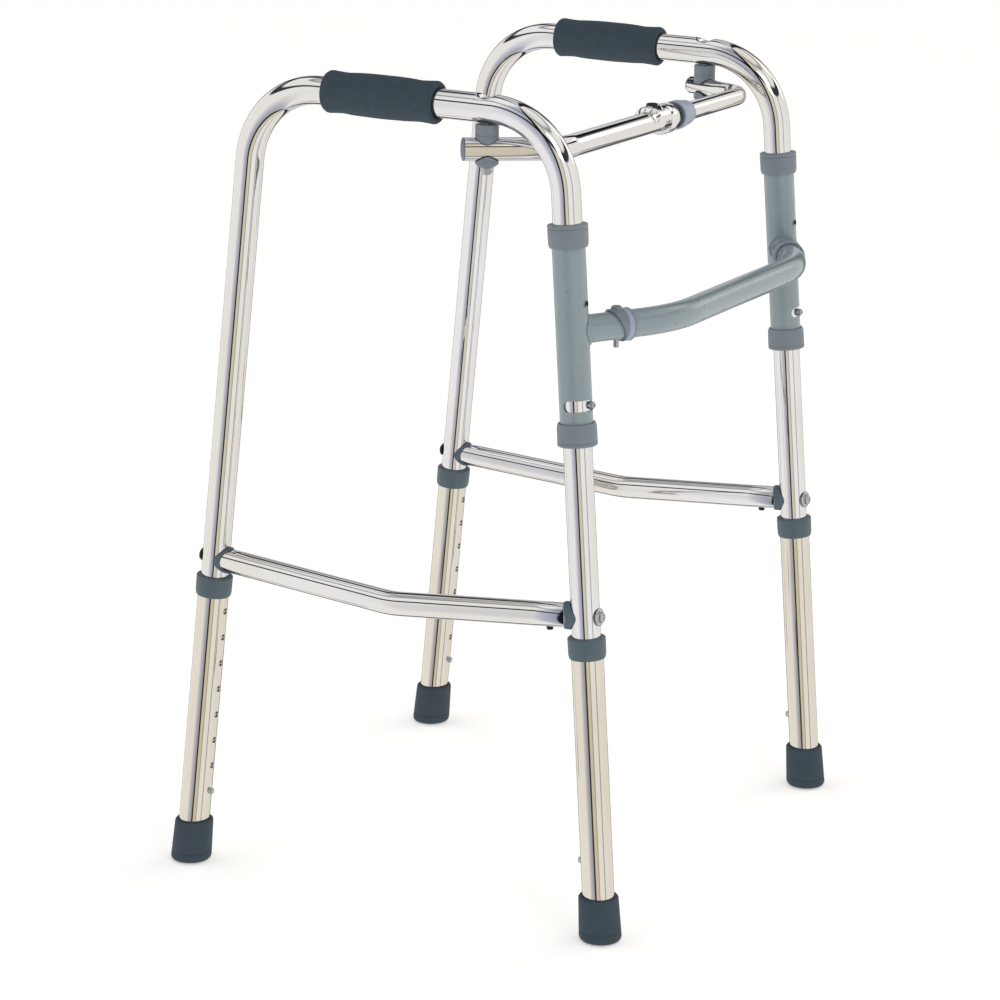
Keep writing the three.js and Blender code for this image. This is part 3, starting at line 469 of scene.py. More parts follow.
def drawn_tube(light, dark, low, high, lines):
    """Drawn and anodised aluminium tube: the die leaves fine lines along it, 0.3 mm apart, and a
    faint cloud of a second colour lies over it: on the champagne tube the bath's uneven dye, on the
    bright-dipped tube a painted reflection of warm surroundings."""

    def build(tree, skin, whole):
        grain = noise(tree, stretched(tree, skin, 3200, 14), 1.0, 4)
        # the cloud mixes the two colours: uneven dye on the champagne tube, painted reflection on
        # the bright-dipped tube
        cloud = noise(tree, whole, 9, 2)
        return {
            "Base Color": blended(tree, cloud, linear(light), linear(dark)),
            "Roughness": ranged(tree, grain, low, high),
            "Normal": bumped(tree, grain, lines, 0.02),
        }

    return build


def sprayed(light, dark, peel):
    """Powder coat: a thick even film with the faint orange peel of melted powder, 2 mm across."""

    def build(tree, skin, whole):
        cloud = noise(tree, whole, 30, 3)
        return {
            "Base Color": blended(tree, cloud, linear(light), linear(dark)),
            "Roughness": ranged(tree, noise(tree, whole, 140, 2), 0.24, 0.34),
            "Normal": bumped(tree, noise(tree, whole, 320, 1), peel, 0.02),
        }

    return build


def moulded(light, dark, low, high, grain, depth):
    """Moulded plastic or rubber: spark-eroded grain under a millimetre and slightly uneven dye."""

    def build(tree, skin, whole):
        fine = noise(tree, whole, grain, 4, 0.6)
        return {
            "Base Color": blended(tree, noise(tree, whole, 60, 4), linear(light), linear(dark)),
            "Roughness": ranged(tree, fine, low, high),
            "Normal": bumped(tree, fine, 0.35, depth),
        }

    return build


def foam_skin(tree, skin, whole):
    """Closed-cell foam: rounded cells about half a millimetre wide, dark in their seams."""
    cells = add(tree, "ShaderNodeTexVoronoi", {"Vector": whole, "Scale": 1500.0}).outputs[0]
    cloud = noise(tree, whole, 120, 5, 0.65)
    height = add(tree, "ShaderNodeMath", {0: cells, 1: cloud}, operation="ADD").outputs[0]
    return {
        "Base Color": blended(tree, cloud, linear("#37434C"), linear("#48545D")),
        "Roughness": ranged(tree, cells, 0.85, 1.0),
        "Normal": bumped(tree, height, 0.5, 0.35),
    }


# Less gloss than a polished surface: grained plastic, rubber and foam scatter most of it.
DULL = {"Specular IOR Level": 0.35}
MATT = {"Specular IOR Level": 0.15}


def make_materials():
    """The walking frame's own materials, named for what they are."""
    metal = {"Metallic": 1.0}
    # bright-dipped aluminium tube: mirror-like with a cool white face; its warm low tones are
    # painted reflection, a random cloud of warm colour in the base
    surface("polished_tube", "bright_dipped_aluminium", metal,
            drawn_tube("#EBECF2", "#DFD9CC", 0.02, 0.06, 0.02))
    # champagne anodised aluminium: satin, warm, with soft reflections
    surface("champagne_tube", "champagne_anodised_aluminium", metal,
            drawn_tube("#E6E0D4", "#D9D1C2", 0.05, 0.12, 0.05))
    # grey-green powder-coated steel under a clear gloss
    surface("grey_paint", "powder_coated_steel", {"Coat Weight": 0.6, "Coat Roughness": 0.08},
            sprayed("#8C9BA0", "#839398", 0.25))
    # moulded nylon in three greys: even colour, fine grain, soft highlights
    surface("grey_plastic", "grey_nylon", DULL,
            moulded("#818A92", "#78828B", 0.36, 0.48, 900, 0.05))
    surface("lilac_plastic", "lilac_nylon", DULL,
            moulded("#A9B0C1", "#9FA6B7", 0.34, 0.46, 900, 0.05))
    surface("slate_plastic", "slate_nylon", DULL,
            moulded("#596871", "#505F68", 0.36, 0.5, 900, 0.06))
    # moulded rubber: matt, faintly uneven
    surface("foot_rubber", "moulded_rubber", MATT,
            moulded("#44505A", "#3B4750", 0.5, 0.68, 1400, 0.08))
    # black-oxide steel: dark, oiled, a low sheen
    surface("black_steel", "black_oxide_steel", {"Metallic": 0.7},
            moulded("#35383B", "#282A2C", 0.3, 0.45, 1200, 0.04))
    # zinc-plated steel: bright, slightly blue, with plating speckle
    surface("plated_steel", "zinc_plated_steel", metal,
            moulded("#C3C7CC", "#A6AAB0", 0.16, 0.3, 1600, 0.03))
    # painted shade: a flat near-black colour that stands in for the shade inside bores, in the
    # slots of screw heads and in the gap of the latch joint
    surface("hole_shadow", "painted_shade", DULL, moulded("#0B0C0D", "#070808", 0.7, 0.9, 600, 0.02))
    # closed-cell foam: matt, fine pores
    surface("foam", "closed_cell_foam", {"Sheen Weight": 0.03, "Sheen Roughness": 0.6, **MATT},
            foam_skin)


# ---- Shapes of the pieces -----------------------------------------------------------------------


def side_tube_rows(lay, tubes):
    """The frame tube bent to an upside-down U, with a pressed dimple round the bolt: points
    of the top within 10 mm of the bolt sink by a cosine bowl."""
    radius = mm(tubes, "frame")
    corners = [lay.leg("front", 56), lay.front_corner, lay.rear_corner, lay.leg("rear", 56)]
    path = refined(bent(corners, mm(lay.s, "bend"), 24), 6)
    near = np.abs((path[0] - lay.pivot) @ lay.top_along) < 14
    near &= np.abs((path[0] - lay.pivot) @ lay.top_up) < 6
    first, last = np.flatnonzero(near)[[0, -1]]
    t = np.linspace(0, 1, 33)[:, None]
    fine = path[0][first] + (path[0][last] - path[0][first]) * t
    heads = path[1][first] + (path[1][last] - path[1][first]) * t
    path = (np.concatenate([path[0][:first], fine, path[0][last + 1 :]]),
            np.concatenate([path[1][:first], heads, path[1][last + 1 :]]))
    normal = unit(np.cross(lay.up("front"), lay.top_along))
    outer = rings(path, normal, radius, 64)
    off = outer - lay.pivot
    reach = np.hypot(off @ lay.top_along, off @ ACROSS)
    bowl = np.where(reach < 10, 0.5 + 0.5 * np.cos(np.pi * reach / 10), 0)
    bowl = np.clip(bowl * 1.5, 0, 1) * 6.2 * ((off @ lay.top_up) > 0)
    outer = outer - bowl[..., None] * lay.top_up
    return walled(outer, path[0], 0.8, radius)


def bolt_parts(lay, radius):
    """Pivot bolt: pan head in the dimple, shank down through the bar."""
    seat = TUBE_R - 7.2 + 0.6
    low = -UPPER_DROP - radius - 10
    head = turned([(0, low), (3, low), (3, seat), (6.2, seat), (6.4, seat + 0.6),
                   (6.2, seat + 1.7), (5.2, seat + 2.7), (3, seat + 3.2), (0, seat + 3.3)],
                  axes(lay.pivot, UP, lay.top_along))
    return [(head, "plated_steel")]


def nut_parts(lay, radius):
    """Domed hexagon nut under the saddle."""
    place = axes(lay.upper, -UP, lay.arm)
    top = radius + 5.3
    body = turned([(0, top), (4.9, top), (5.2, top + 0.5), (5.2, top + 3.6), (4.7, top + 4.2),
                   (0, top + 4.2)], place, 6)
    dome = turned([(0, top + 3), (4.3, top + 3), (4.1, top + 5), (3.2, top + 6.2),
                   (1.6, top + 6.8), (0, top + 6.9)], place, 32)
    return [(body, "plated_steel"), (dome, "plated_steel")]


def eased(rows, which, base, way, radius):
    """Rounds the points of a fish-mouthed edge: heights z over the bar become
    sqrt(z^2 + 5^2) R / sqrt(R^2 + 5^2), which leaves the tops where they are."""
    z = (rows[which] - base) @ way
    risen = np.sqrt(z * z + 25) * radius / math.hypot(radius, 5)
    rows[which] += np.maximum(risen - z, 0)[..., None] * way
    return rows


def spacer_parts(lay, radius):
    """Grey spacer between tube and bar; its foot is shaped to the bar's round, with the fine
    parting line of its two halves."""
    top = UPPER_DROP - TUBE_R - 0.7
    rows = turned([(4, 5), (10.2, 5), (10.2, 12), (9.95, 12.2), (9.95, 12.5), (10.2, 12.7),
                   (10.2, top - 0.6), (9.7, top), (4, top), (4, 5)],
                  axes(lay.upper, UP, lay.arm))
    foot = onto_round(rows.copy(), slice(0, 2), UP, lay.upper, lay.arm, radius, 0.3)
    foot = eased(foot, slice(0, 2), lay.upper, UP, radius + 0.3)
    foot[-1] = foot[0]
    return [(foot, "grey_plastic")]


def saddle_parts(lay, radius):
    """Lens-shaped saddle that hugs the bar from below."""
    rows = turned([(3.6, -radius - 4.9), (7, -radius - 4.9), (10.2, -radius - 2.2),
                   (10.2, -2), (3.6, -2), (3.6, -radius - 4.9)],
                  axes(lay.upper, UP, lay.arm))
    rows = onto_round(rows, slice(3, 5), -UP, lay.upper, lay.arm, radius, 0.3)
    rows = eased(rows, slice(3, 5), lay.upper, -UP, radius + 0.3)
    return [(rows, "grey_plastic")]


def end_cap_parts(lay, radius):
    """Domed plug in the closed end of an upper bar half."""
    place = axes(lay.upper - 19 * lay.arm, -lay.arm, UP)
    cap = turned([(0, -5), (radius - 2, -5), (radius - 2, 0.3), (radius - 0.2, 0.3),
                  (radius, 0.8), (radius - 0.3, 1.8), (radius - 1.6, 2.8),
                  (radius * 0.5, 3.5), (0, 3.6)], place)
    return [(cap, "grey_plastic")]


def upper_bar_parts(lay, radius, end):
    """Half of the upper bar, from its plugged end round the bend to the latch."""
    reach = UPPER_FORWARD / math.cos(math.radians(UPPER_ANGLE))
    corner = lay.upper + lay.arm * reach
    stop = np.array([end, lay.upper_line, lay.upper[2]])
    path = refined(bent([lay.upper - 19 * lay.arm, corner, stop], 36, 20), 12)
    return [(pipe(path, UP, radius, 1.3, 56), "polished_tube")]


def grip_rows(lay, tubes):
    """Foam sleeve: flared rolled ends, a slight waist inside each, a full middle; its skin
    wavers by a tenth of a millimetre where it was stretched on."""
    turn = lambda a, b: math.acos(np.clip(a.dot(b), -1, 1))
    bend = mm(lay.s, "bend")
    start = bend * math.tan(turn(lay.up("front"), lay.top_along) / 2) + GRIP_FRONT_GAP
    whole = np.linalg.norm(lay.rear_corner - lay.front_corner)
    stop = whole - bend * math.tan(turn(lay.top_along, -lay.up("rear")) / 2) - GRIP_REAR_GAP
    long = stop - start
    full = mm(tubes, "grip")
    h = np.linspace(0, 1, 90)
    body = full - 1.0 + 0.95 * np.sin(np.pi * h) ** 2
    body += 0.8 * (np.exp(-((h / 0.07) ** 2)) + np.exp(-(((1 - h) / 0.07) ** 2)))
    body -= 0.45 * (np.exp(-(((h - 0.17) / 0.06) ** 2)) + np.exp(-(((h - 0.83) / 0.06) ** 2)))
    near = np.minimum(h, 1 - h) * long
    roll = np.where(near < 4, 4 - np.sqrt(np.maximum(16 - (4 - near) ** 2, 0)), 0)
    radius = np.concatenate([[13.1], body - roll, [13.1], [13.1]])
    height = np.concatenate([[1.2], h * long, [long - 1.2], [1.2]])
    rows = turned(np.stack([radius, height], 1), axes(lay.front_corner + lay.top_along * start,
                                                      lay.top_along, ACROSS), 96)
    a = np.linspace(0, 2 * np.pi, 97)
    wave = 0.1 * np.sin(3 * a[None] + 9 * h[:, None]) * np.sin(2 * a[None] - 14 * h[:, None])
    centre = lay.front_corner + lay.top_along * (start + h[:, None] * long)
    skin = rows[1:-2]
    out = skin - centre[:, None]
    out /= np.maximum(np.linalg.norm(out, axis=-1, keepdims=True), 1e-6)
    rows[1:-2] = skin + out * wave[..., None]
    return rows


def leg_parts(lay, tubes, end):
    """Leg extension with its row of eight punched holes, each a disc of painted shade where the
    dark bore shows, with a bright lip.
    """
    low, collar = 11, COLLAR_Z[end]
    place = axes(lay.leg(end, 0), lay.up(end), lay.partner(end))
    slant = 1 / lay.up(end)[2]
    radius = mm(tubes, "leg")
    top = (collar + 7) * slant
    wall = turned([(13.1, low), (radius, low), (radius, top), (13.1, top), (13.1, low)],
                  place, 64)
    parts = [(wall, "champagne_tube")]
    for i in range(HOLES):
        up = BUTTON_Z * slant + i * HOLE_PITCH
        a = np.linspace(0, 2 * np.pi, 25)
        # each hole is a disc of painted shade laid a hair proud of the tube, ringed by a lip of
        # tube metal
        for (inner, outer, proud, finish) in ((0.0, 3.1, 0.04, "hole_shadow"),
                                              (3.0, 3.7, 0.1, "champagne_tube")):
            if i == 0 and finish == "hole_shadow":
                inner = 2.9
            r = np.array([inner, outer, outer, inner, inner])
            lift = np.array([proud, proud, -0.4, -0.4, proud])
            across, tall = np.outer(r, np.sin(a)), up + np.outer(r, np.cos(a))
            deep = np.sqrt(radius**2 - across**2) + lift[:, None]
            parts.append((put(np.stack([deep, across, tall], -1), place), finish))
    return parts


def tube_collar(bore, outer, tall, lip, rim=0.0):
    """Profile of a collar over a tube's end; a rim adds a thin raised band at its mouth."""
    half = tall / 2
    return [(bore, -half), (outer - 1.1, -half), (outer - 0.2, -half + 3),
            (outer, half - 4), (outer - rim, half - 3.6), (outer - rim, half - 3.2),
            (outer, half - 3), (outer, half - 0.7), (outer - 0.7, half),
            (12.95, half), (12.95, half - lip), (bore, half - lip), (bore, -half)]


def foot_parts(lay, tubes, end):
    """Rubber foot: turned upright, then slid over by the leg's lean at each height."""
    r = mm(tubes, "foot")
    profile = [(0, 0), (r - 6, 0), (r - 4, 0.15), (r - 2, 0.9), (r - 0.7, 2.2), (r, 4.2),
               (r - 0.15, 9), (r - 0.55, 9.5), (r - 0.55, 10.1), (r - 0.2, 10.6),
               (r - 1.1, 38), (r - 1.3, 39.8), (r - 2, 40.8), (r - 3, 41), (14.5, 40.8),
               (14.5, 10.2), (0, 10.2)]
    rows = turned(profile, (np.zeros(3), ACROSS, -FORWARD, UP), 64)
    lean = lay.leg(end, 1) - lay.leg(end, 0)
    base = lay.leg(end, 0)
    rows = rows + base + rows[..., 2:] * np.array([lean[0], lean[1], 0])
    return [(rows, "foot_rubber")]


def clip_parts(lay, end):
    """Snap clip: a U of spring strip in the tube and the domed button it carries."""
    place = axes(lay.leg(end, BUTTON_Z), lay.partner(end), lay.up(end))
    button = turned([(0, 9), (3.0, 9), (3.0, 16.4), (2.8, 17.2), (2.2, 17.8), (1.2, 18.2),
                     (0, 18.3)], place, 32)
    o, x, y, z = place
    corners = [o + z * 9.5 - x * 7, o + z * 9.5 + x * 34, o - z * 4.2 + x * 34,
               o - z * 4.2 + x * 6]
    points, heads = bent(corners, 5, 8)
    side = np.cross(heads, y)
    section = [(-3.6, -0.4), (3.6, -0.4), (3.6, 0.4), (-3.6, 0.4)]
    strip = lofted(section, [(p, y, n, h) for p, n, h in zip(points, side, heads)])
    return [(button, "plated_steel"), (strip, "plated_steel")]


def side_bar_parts(lay, tubes):
    """Side bar with its slight knee, both ends cut to the legs' round."""
    radius = mm(tubes, "side_bar")
    path = refined(bent([lay.bar_front, lay.bar_middle, lay.bar_rear], 120, 12), 14)
    normal = unit(np.cross(lay.bar_middle - lay.bar_front, lay.bar_rear - lay.bar_middle))
    outer = rings(path, normal, radius, 56)
    keep = np.linalg.norm(path[0] - lay.bar_front, axis=1) > 30
    keep &= np.linalg.norm(path[0] - lay.bar_rear, axis=1) > 26
    keep[[0, -1]] = True
    outer = outer[keep]
    front, rear = path[1][0], -path[1][-1]
    onto_round(outer, 0, front, lay.bar_front, lay.up("front"), TUBE_R + 6.8)
    onto_round(outer, -1, rear, lay.bar_rear, lay.up("rear"), TUBE_R + 3.2)
    return [(walled(outer, path[0][keep], 1.2, radius), "polished_tube")]


def bar_saddle_parts(lay, end, thick):
    """Plastic saddle between leg and side bar: a short sleeve whose two ends follow the leg."""
    origin = lay.bar_front if end == "front" else lay.bar_rear
    d = unit(lay.bar_middle - origin)
    path = (np.array([origin + d, origin + 2 * d]), np.array([d, d]))
    outer = rings(path, UP, 12.4, 48)
    inner = rings(path, UP, 4, 48)
    for rows in (outer, inner):
        onto_round(rows, 0, d, origin, lay.up(end), 13.0)
        onto_round(rows, 1, d, origin, lay.up(end), 13.0 + thick)
    closed = np.concatenate([outer, inner[::-1], outer[:1]])
    return [(closed, "slate_plastic")]


def cross_slots(place, top, long, wide=1.1):
    """The crossed slots of a screw head, drawn as flat bars of painted shade set into the head."""
    return [(slab(place, long, wide, top - 1, top + 0.05), "hole_shadow"),
            (slab(place, wide, long, top - 1, top + 0.06), "hole_shadow")]


def front_screw_parts(lay):
    """Pan-head screw on its cup washer."""
    d = unit(lay.bar_middle - lay.bar_front)
    place = axes(lay.bar_front, -d, UP)
    seat = 12.9
    head = turned([(0, -28), (3, -28), (3, seat), (7.9, seat), (8, seat + 0.5),
                   (7.4, seat + 1.4), (6.2, seat + 2), (5.4, seat + 1.8), (4.9, seat + 1.9),
                   (4.8, seat + 3.2), (4.1, seat + 4.2), (2.6, seat + 4.7), (0, seat + 4.8)],
                  place, 40)
    return [(head, "plated_steel")] + cross_slots(place, seat + 4.7, 4.6)


def rear_bolt_parts(lay):
    """Dark domed bolt head behind the rear leg."""
    d = unit(lay.bar_middle - lay.bar_rear)
    head = turned([(0, -24), (3, -24), (3, 12.9), (6.1, 12.9), (6.2, 14.3), (5.6, 15.4),
                   (4.2, 16.3), (2.2, 16.8), (0, 16.9)], axes(lay.bar_rear, -d, UP), 40)
    return [(head, "black_steel")]


def bar_pin_parts(lay):
    """Round-nosed snap pin under the side bar."""
    d = unit(lay.bar_middle - lay.bar_front)
    place = axes(lay.bar_front + 34 * d, -UP, d)
    pin = turned([(0, 6.8), (4.3, 6.8), (4.3, 7.9), (3.1, 7.9), (3.1, 13), (2.6, 13.8),
                  (1.5, 14.1), (0, 14.1)], place, 32)
    return [(pin, "black_steel")]


def slot_corner(place, end, into, radii, middle, sign, half=5.0):
    """Wall that rounds one corner of the slot: into the slot by h (1 - cos t) the opening's half
    height is h sin t."""
    t = np.radians(np.linspace(0, 84, 10))
    angle = end + into * half * (1 - np.cos(t)) / radii[1]
    edge, rim = half * np.sin(t), np.full_like(t, half)
    reach = np.array([radii[0], radii[1], radii[1], radii[0], radii[0]])
    tall = np.stack([edge, edge, rim, rim, edge], 1) * sign + middle
    rows = np.stack([np.outer(np.cos(angle), reach), np.outer(np.sin(angle), reach), tall], -1)
    rows = np.concatenate([np.repeat(rows[:1].mean(1, keepdims=True), 5, 1), rows,
                           np.repeat(rows[-1:].mean(1, keepdims=True), 5, 1)])
    return put(rows, place)


def sleeve_parts(lay, tubes):
    """Swivel sleeve: tube above and below the screw's slot, the wall left beside it, and the
    stub welded on in front."""
    r = mm(tubes, "sleeve")
    place = axes(lay.leg("front", 0), lay.up("front"), ACROSS)
    slant = 1 / lay.up("front")[2]
    low, top = (SLEEVE_LOW_Z - 7.7) * slant, (SLEEVE_TOP_Z + 7.7) * slant
    slot = STOP_Z * slant
    bore = 13.0
    tube = lambda a, b: turned([(bore, a), (r, a), (r, b), (bore, b), (bore, a)], place, 64)
    angles = np.radians(np.linspace(-90 + 112, 270 - 40, 40))
    o, x, y, z = place
    wall = []
    for a in angles:
        out = np.cos(a) * x + np.sin(a) * y
        wall.append((o, out, z, z))
    section = [(bore, slot - 5), (r, slot - 5), (r, slot + 5), (bore, slot + 5)]
    side_wall = lofted(section, wall)
    corners = [slot_corner(place, math.radians(end), into, (bore, r), slot, sign)
               for end, into in ((22, -1), (230, 1)) for sign in (-1, 1)]
    d = lay.lower_arm
    arm = axes(lay.stub, d, UP)
    outer_r = mm(tubes, "lower_bar")
    stub = turned([(9.0, 1), (outer_r, 1), (outer_r, 50), (10.2, 50), (10.2, 60), (9, 60),
                   (9, 1)], arm, 56)
    for row in (0, 1, -1):
        onto_round(stub, row, d, lay.stub, lay.up("front"), r, -0.6)
    weld = turned([(outer_r + 0.6, 1)], arm, 64)
    onto_round(weld, 0, d, lay.stub, lay.up("front"), r, 0.3)
    row = weld[0]
    out = (row - lay.stub) - ((row - lay.stub) @ d)[:, None] * d
    out /= np.linalg.norm(out, axis=1, keepdims=True)
    ring = bead(row, out, np.repeat(d[None], len(row), 0), 1.5)
    # the sight hole is a disc of painted shade inside a grey-painted lip
    sight_place = axes(lay.leg("front", SIGHT_Z), FORWARD, UP)
    sight_hole_shade = turned([(0, r - 0.6), (3.6, r - 0.6), (3.6, r + 0.05), (0, r + 0.06)],
                 sight_place, 32)
    lip = turned([(3.5, r - 1), (4.1, r - 1), (4.1, r + 0.05), (3.5, r + 0.1), (3.5, r - 1)],
                 sight_place, 32)
    return [(tube(low, slot - 5), "grey_paint"), (tube(slot + 5, top), "grey_paint"),
            (side_wall, "grey_paint"), (stub, "grey_paint"), (ring, "grey_paint"),
            (sight_hole_shade, "hole_shadow"), (lip, "grey_paint"),
            *((corner, "grey_paint") for corner in corners)]


def limit_screw_parts(lay):
    """Stop screw whose cross-slotted head stands in the sleeve's slot."""
    up = lay.up("front")
    out = unit(FORWARD - up * FORWARD.dot(up))
    place = axes(lay.leg("front", STOP_Z), out, UP)
    head = turned([(0, 8.5), (2.5, 8.5), (2.5, 12.9), (3.4, 12.9), (3.4, 16.2), (3.1, 17.2),
                   (2.2, 17.8), (0, 18)], place, 32)
    return [(head, "plated_steel")] + cross_slots(place, 17.9, 3.6, 0.9)


def stub_ring_parts(lay, tubes):
    """Snap ring over the joint: two raised rims with a recessed band; its outboard edge slants
    from over the pin to behind it, s = middle - slope cos a."""
    bore = mm(tubes, "lower_bar") + 0.35
    outer = bore + 1.9
    profile = [(bore, 44), (outer, 44), (outer, 50), (outer - 0.7, 50.4), (outer - 0.7, 55.2),
               (outer, 55.6), (outer, 56.7), (outer - 0.4, 57), (bore, 57), (bore, 44)]
    place = axes(lay.stub, lay.lower_arm, UP)
    rows = turned(profile, place, 64)
    a = np.linspace(0, 2 * np.pi, 65)
    slide = (-6 * np.cos(a))[:, None] * lay.lower_arm
    for row in (0, 1, -1):
        rows[row] += slide
    rim, band = rows[:3], rows[2:6]
    rest = rows[5:]
    return [(rim, "grey_plastic"), (band, "lilac_plastic"), (rest, "grey_plastic")]


def stub_pin_parts(lay, tubes):
    """Snap pin: domed head over the ring and its plated end standing out below."""
    r = mm(tubes, "lower_bar")
    place = axes(lay.stub + 45 * lay.lower_arm, UP, lay.lower_arm)
    head = turned([(0, 11.4), (4.7, 11.4), (4.8, r + 3.2), (4.3, r + 4.3), (2.8, r + 5),
                   (0, r + 5.2)], place, 32)
    pin = turned([(0, -r - 7), (1.9, -r - 7), (2.5, -r - 6.4), (2.6, -r - 5.8), (2.6, -r - 3),
                  (2.3, -r - 2.8), (2.3, -r - 2.4), (2.6, -r - 2.2), (2.6, 11.5), (0, 11.5)],
                 place, 32)
    return [(head, "grey_plastic"), (pin, "plated_steel")]


def lower_bar_parts(lay, tubes):
    """Lower cross bar: level, bowed forward, bent near both ends."""
    reach = LOWER_FORWARD / math.cos(math.radians(LOWER_ANGLE))
    corner = lay.stub + lay.lower_arm * reach
    start = lay.stub + lay.lower_arm * 50.3
    flip = np.array([-1, 1, 1])
    path = refined(bent([start, corner, corner * flip, start * flip], 130, 24), 14)
    return [(pipe(path, UP, mm(tubes, "lower_bar"), 1.4, 64), "grey_paint")]


def latch_parts(lay):
    """Latch housing: a bright ring and, behind it, a die-cast hood over the tube's top with a
    round window for the button."""
    at = axes([0, lay.upper_line, lay.upper[2]], ACROSS, UP)
    ring = turned([(10.5, 4), (13.4, 4), (14, 4.8), (14, 20), (13.6, 20.8), (12.6, 21),
                   (10.5, 21), (10.5, 4)], at, 64)
    o, x, y, z = at
    s = np.linspace(-25, 6, 40)
    rise = np.clip((s + 25) / 7, 0, 1)
    crown = 10.6 + 4.7 * np.sin(rise * np.pi / 2)
    crown = np.where(s > 2, crown + (13.6 - crown) * np.clip((s - 2) / 4, 0, 1), crown)
    a = np.radians(np.linspace(-84, 84, 57))
    far = np.hypot(s[:, None] + 11, 10.8 * np.sin(a)[None])
    well = np.clip((7.2 - far) / 0.8, 0, 1)
    radius = crown[:, None] - well * (crown[:, None] - 10.8)
    side = 1 - 0.1 * (np.abs(a) / a[-1]) ** 4
    top = (o + s[:, None, None] * z + (radius * side)[..., None]
           * (np.cos(a)[None, :, None] * x + np.sin(a)[None, :, None] * y))
    under = (o + s[:, None, None] * z + 10.45
             * (np.cos(a)[None, :, None] * x + np.sin(a)[None, :, None] * y))
    hood = np.concatenate([top, under[:, ::-1], top[:, :1]], axis=1)
    ends = [np.repeat(hood[i].mean(0)[None, None], hood.shape[1], 1) for i in (0, -1)]
    hood = np.concatenate([ends[0], hood, ends[1]])
    return [(ring, "polished_tube"), (hood, "polished_tube")]


def latch_button_parts(lay):
    """Spring button in the hood's window: a cap on three coils."""
    at = axes([-11, lay.upper_line, lay.upper[2]], UP, ACROSS)
    cap = turned([(0, 13.5), (5.3, 13.5), (5.4, 14), (5.4, 16), (5, 16.8), (4.2, 17),
                  (3.9, 16.3), (0, 16.2)], at, 40)
    t = np.linspace(0, 6 * np.pi, 90)
    coil = np.stack([4.7 * np.cos(t), 4.7 * np.sin(t), 14.0 + t * 0.02], -1)
    heads = np.gradient(coil, axis=0)
    heads /= np.linalg.norm(heads, axis=1, keepdims=True)
    points = put(coil, at)
    turned_heads = heads @ np.stack(at[1:])
    spring = rings((points, turned_heads), UP, 0.35, 8)
    return [(cap, "black_steel"), (spring, "plated_steel")]


def bush_parts(lay):
    """Plug bush: a nose coloured as painted shade for the dark gap inside the ring, then a lilac
    cone down to the thin half.
    """
    at = axes([0, lay.upper_line, lay.upper[2]], ACROSS, UP)
    # the nose is painted shade: its near-black colour stands for the shadow in the gap between ring
    # and bush
    nose = turned([(0, 16.6), (8.4, 16.6), (9.3, 17.6), (9.3, 34), (0, 34)], at, 48)
    collar = turned([(9.3, 31.5), (11.8, 31.5), (12.2, 32), (12.2, 34.1), (9.3, 34.1),
                     (9.3, 31.5)], at, 48)
    body = turned([(0, 34.05), (12.9, 34.05), (13.3, 34.6), (13.3, 44), (12.9, 46),
                   (11.3, 60), (10.7, 61.6), (9.6, 62), (8.7, 61.8), (8.7, 40), (0, 40)],
                  at, 64)
    return [(nose, "hole_shadow"), (collar, "slate_plastic"), (body, "lilac_plastic")]


# ---- Stage --------------------------------------------------------------------------------------


def stage_plane(name, corners, colour, glow=0.0):
    """A plain card or floor that isn't part of the object."""
    data = bpy.data.meshes.new(name)
    data.from_pydata(corners, [], [(0, 1, 2, 3)])
    made = bpy.data.objects.new(name, data)
    bpy.context.scene.collection.objects.link(made)

    def build(tree, skin, whole):
        cloud = noise(tree, whole, 0.6, 2)
        tint = tuple(0.97 * c for c in linear(colour)[:3]) + (1.0,)
        return {"Base Color": blended(tree, cloud, linear(colour), tint)}

    shader = {"Roughness": 0.9, "Emission Strength": glow, "Emission Color": linear(colour)}
    data.materials.append(surface(name, name + "_card", shader, build))
    return made
    return made


def lamp(name, at, towards, wide, tall, watts):
    """A soft area light aimed at a point."""
    data = bpy.data.lights.new(name, "AREA")
    data.shape, data.size, data.size_y, data.energy = "RECTANGLE", wide, tall, watts
    made = bpy.data.objects.new(name, data)
    o, x, y, z = axes(at, np.array(at) - np.array(towards), UP)
    made.matrix_world = Matrix([[*row, c] for row, c in zip(np.stack([-y, x, z], 1), o)]
                               + [[0, 0, 0, 1]])
    bpy.context.scene.collection.objects.link(made)


# Brightness of the studio round its upright axis, in degrees from the camera's side, and
# by the sine of the height: white screens with the narrow black flags that draw edges on chrome.
ROUND = ((-180, "#DADCE2"), (-171, "#DADCE2"), (-167, "#24272C"), (-156, "#24272C"),
         (-152, "#FFFFFF"), (-60, "#FFFFFF"), (-42, "#C9CCDA"), (-24, "#A9ADC0"),
         (-21, "#1A1D24"), (-13, "#1A1D24"), (-10, "#E9E2D2"), (9, "#DED6C4"),
         (12, "#3A3C40"), (15, "#FFFFFF"), (48, "#FFFFFF"), (52, "#6B6F7A"),
         (58, "#FFFFFF"), (150, "#F6F4F0"), (154, "#24272C"), (163, "#24272C"),
         (167, "#DADCE2"))
HEIGHT = ((0.0, "#FFFFFF"), (0.42, "#FFFFFF"), (0.45, "#3B3F47"), (0.56, "#3B3F47"),
          (0.6, "#FFFFFF"), (0.8, "#FFFFFF"), (0.84, "#8A8E99"), (0.9, "#FFFFFF"))


def ramp(tree, value, stops):
    """A colour ramp from positions and hex colours."""
    made = add(tree, "ShaderNodeValToRGB", {0: value})
    row = made.color_ramp.elements
    while len(row) < len(stops):
        row.new(0.5)
    for stop, (place, colour) in zip(row, stops):
        stop.position = place
        stop.color = linear(colour)
    return made.outputs[0]


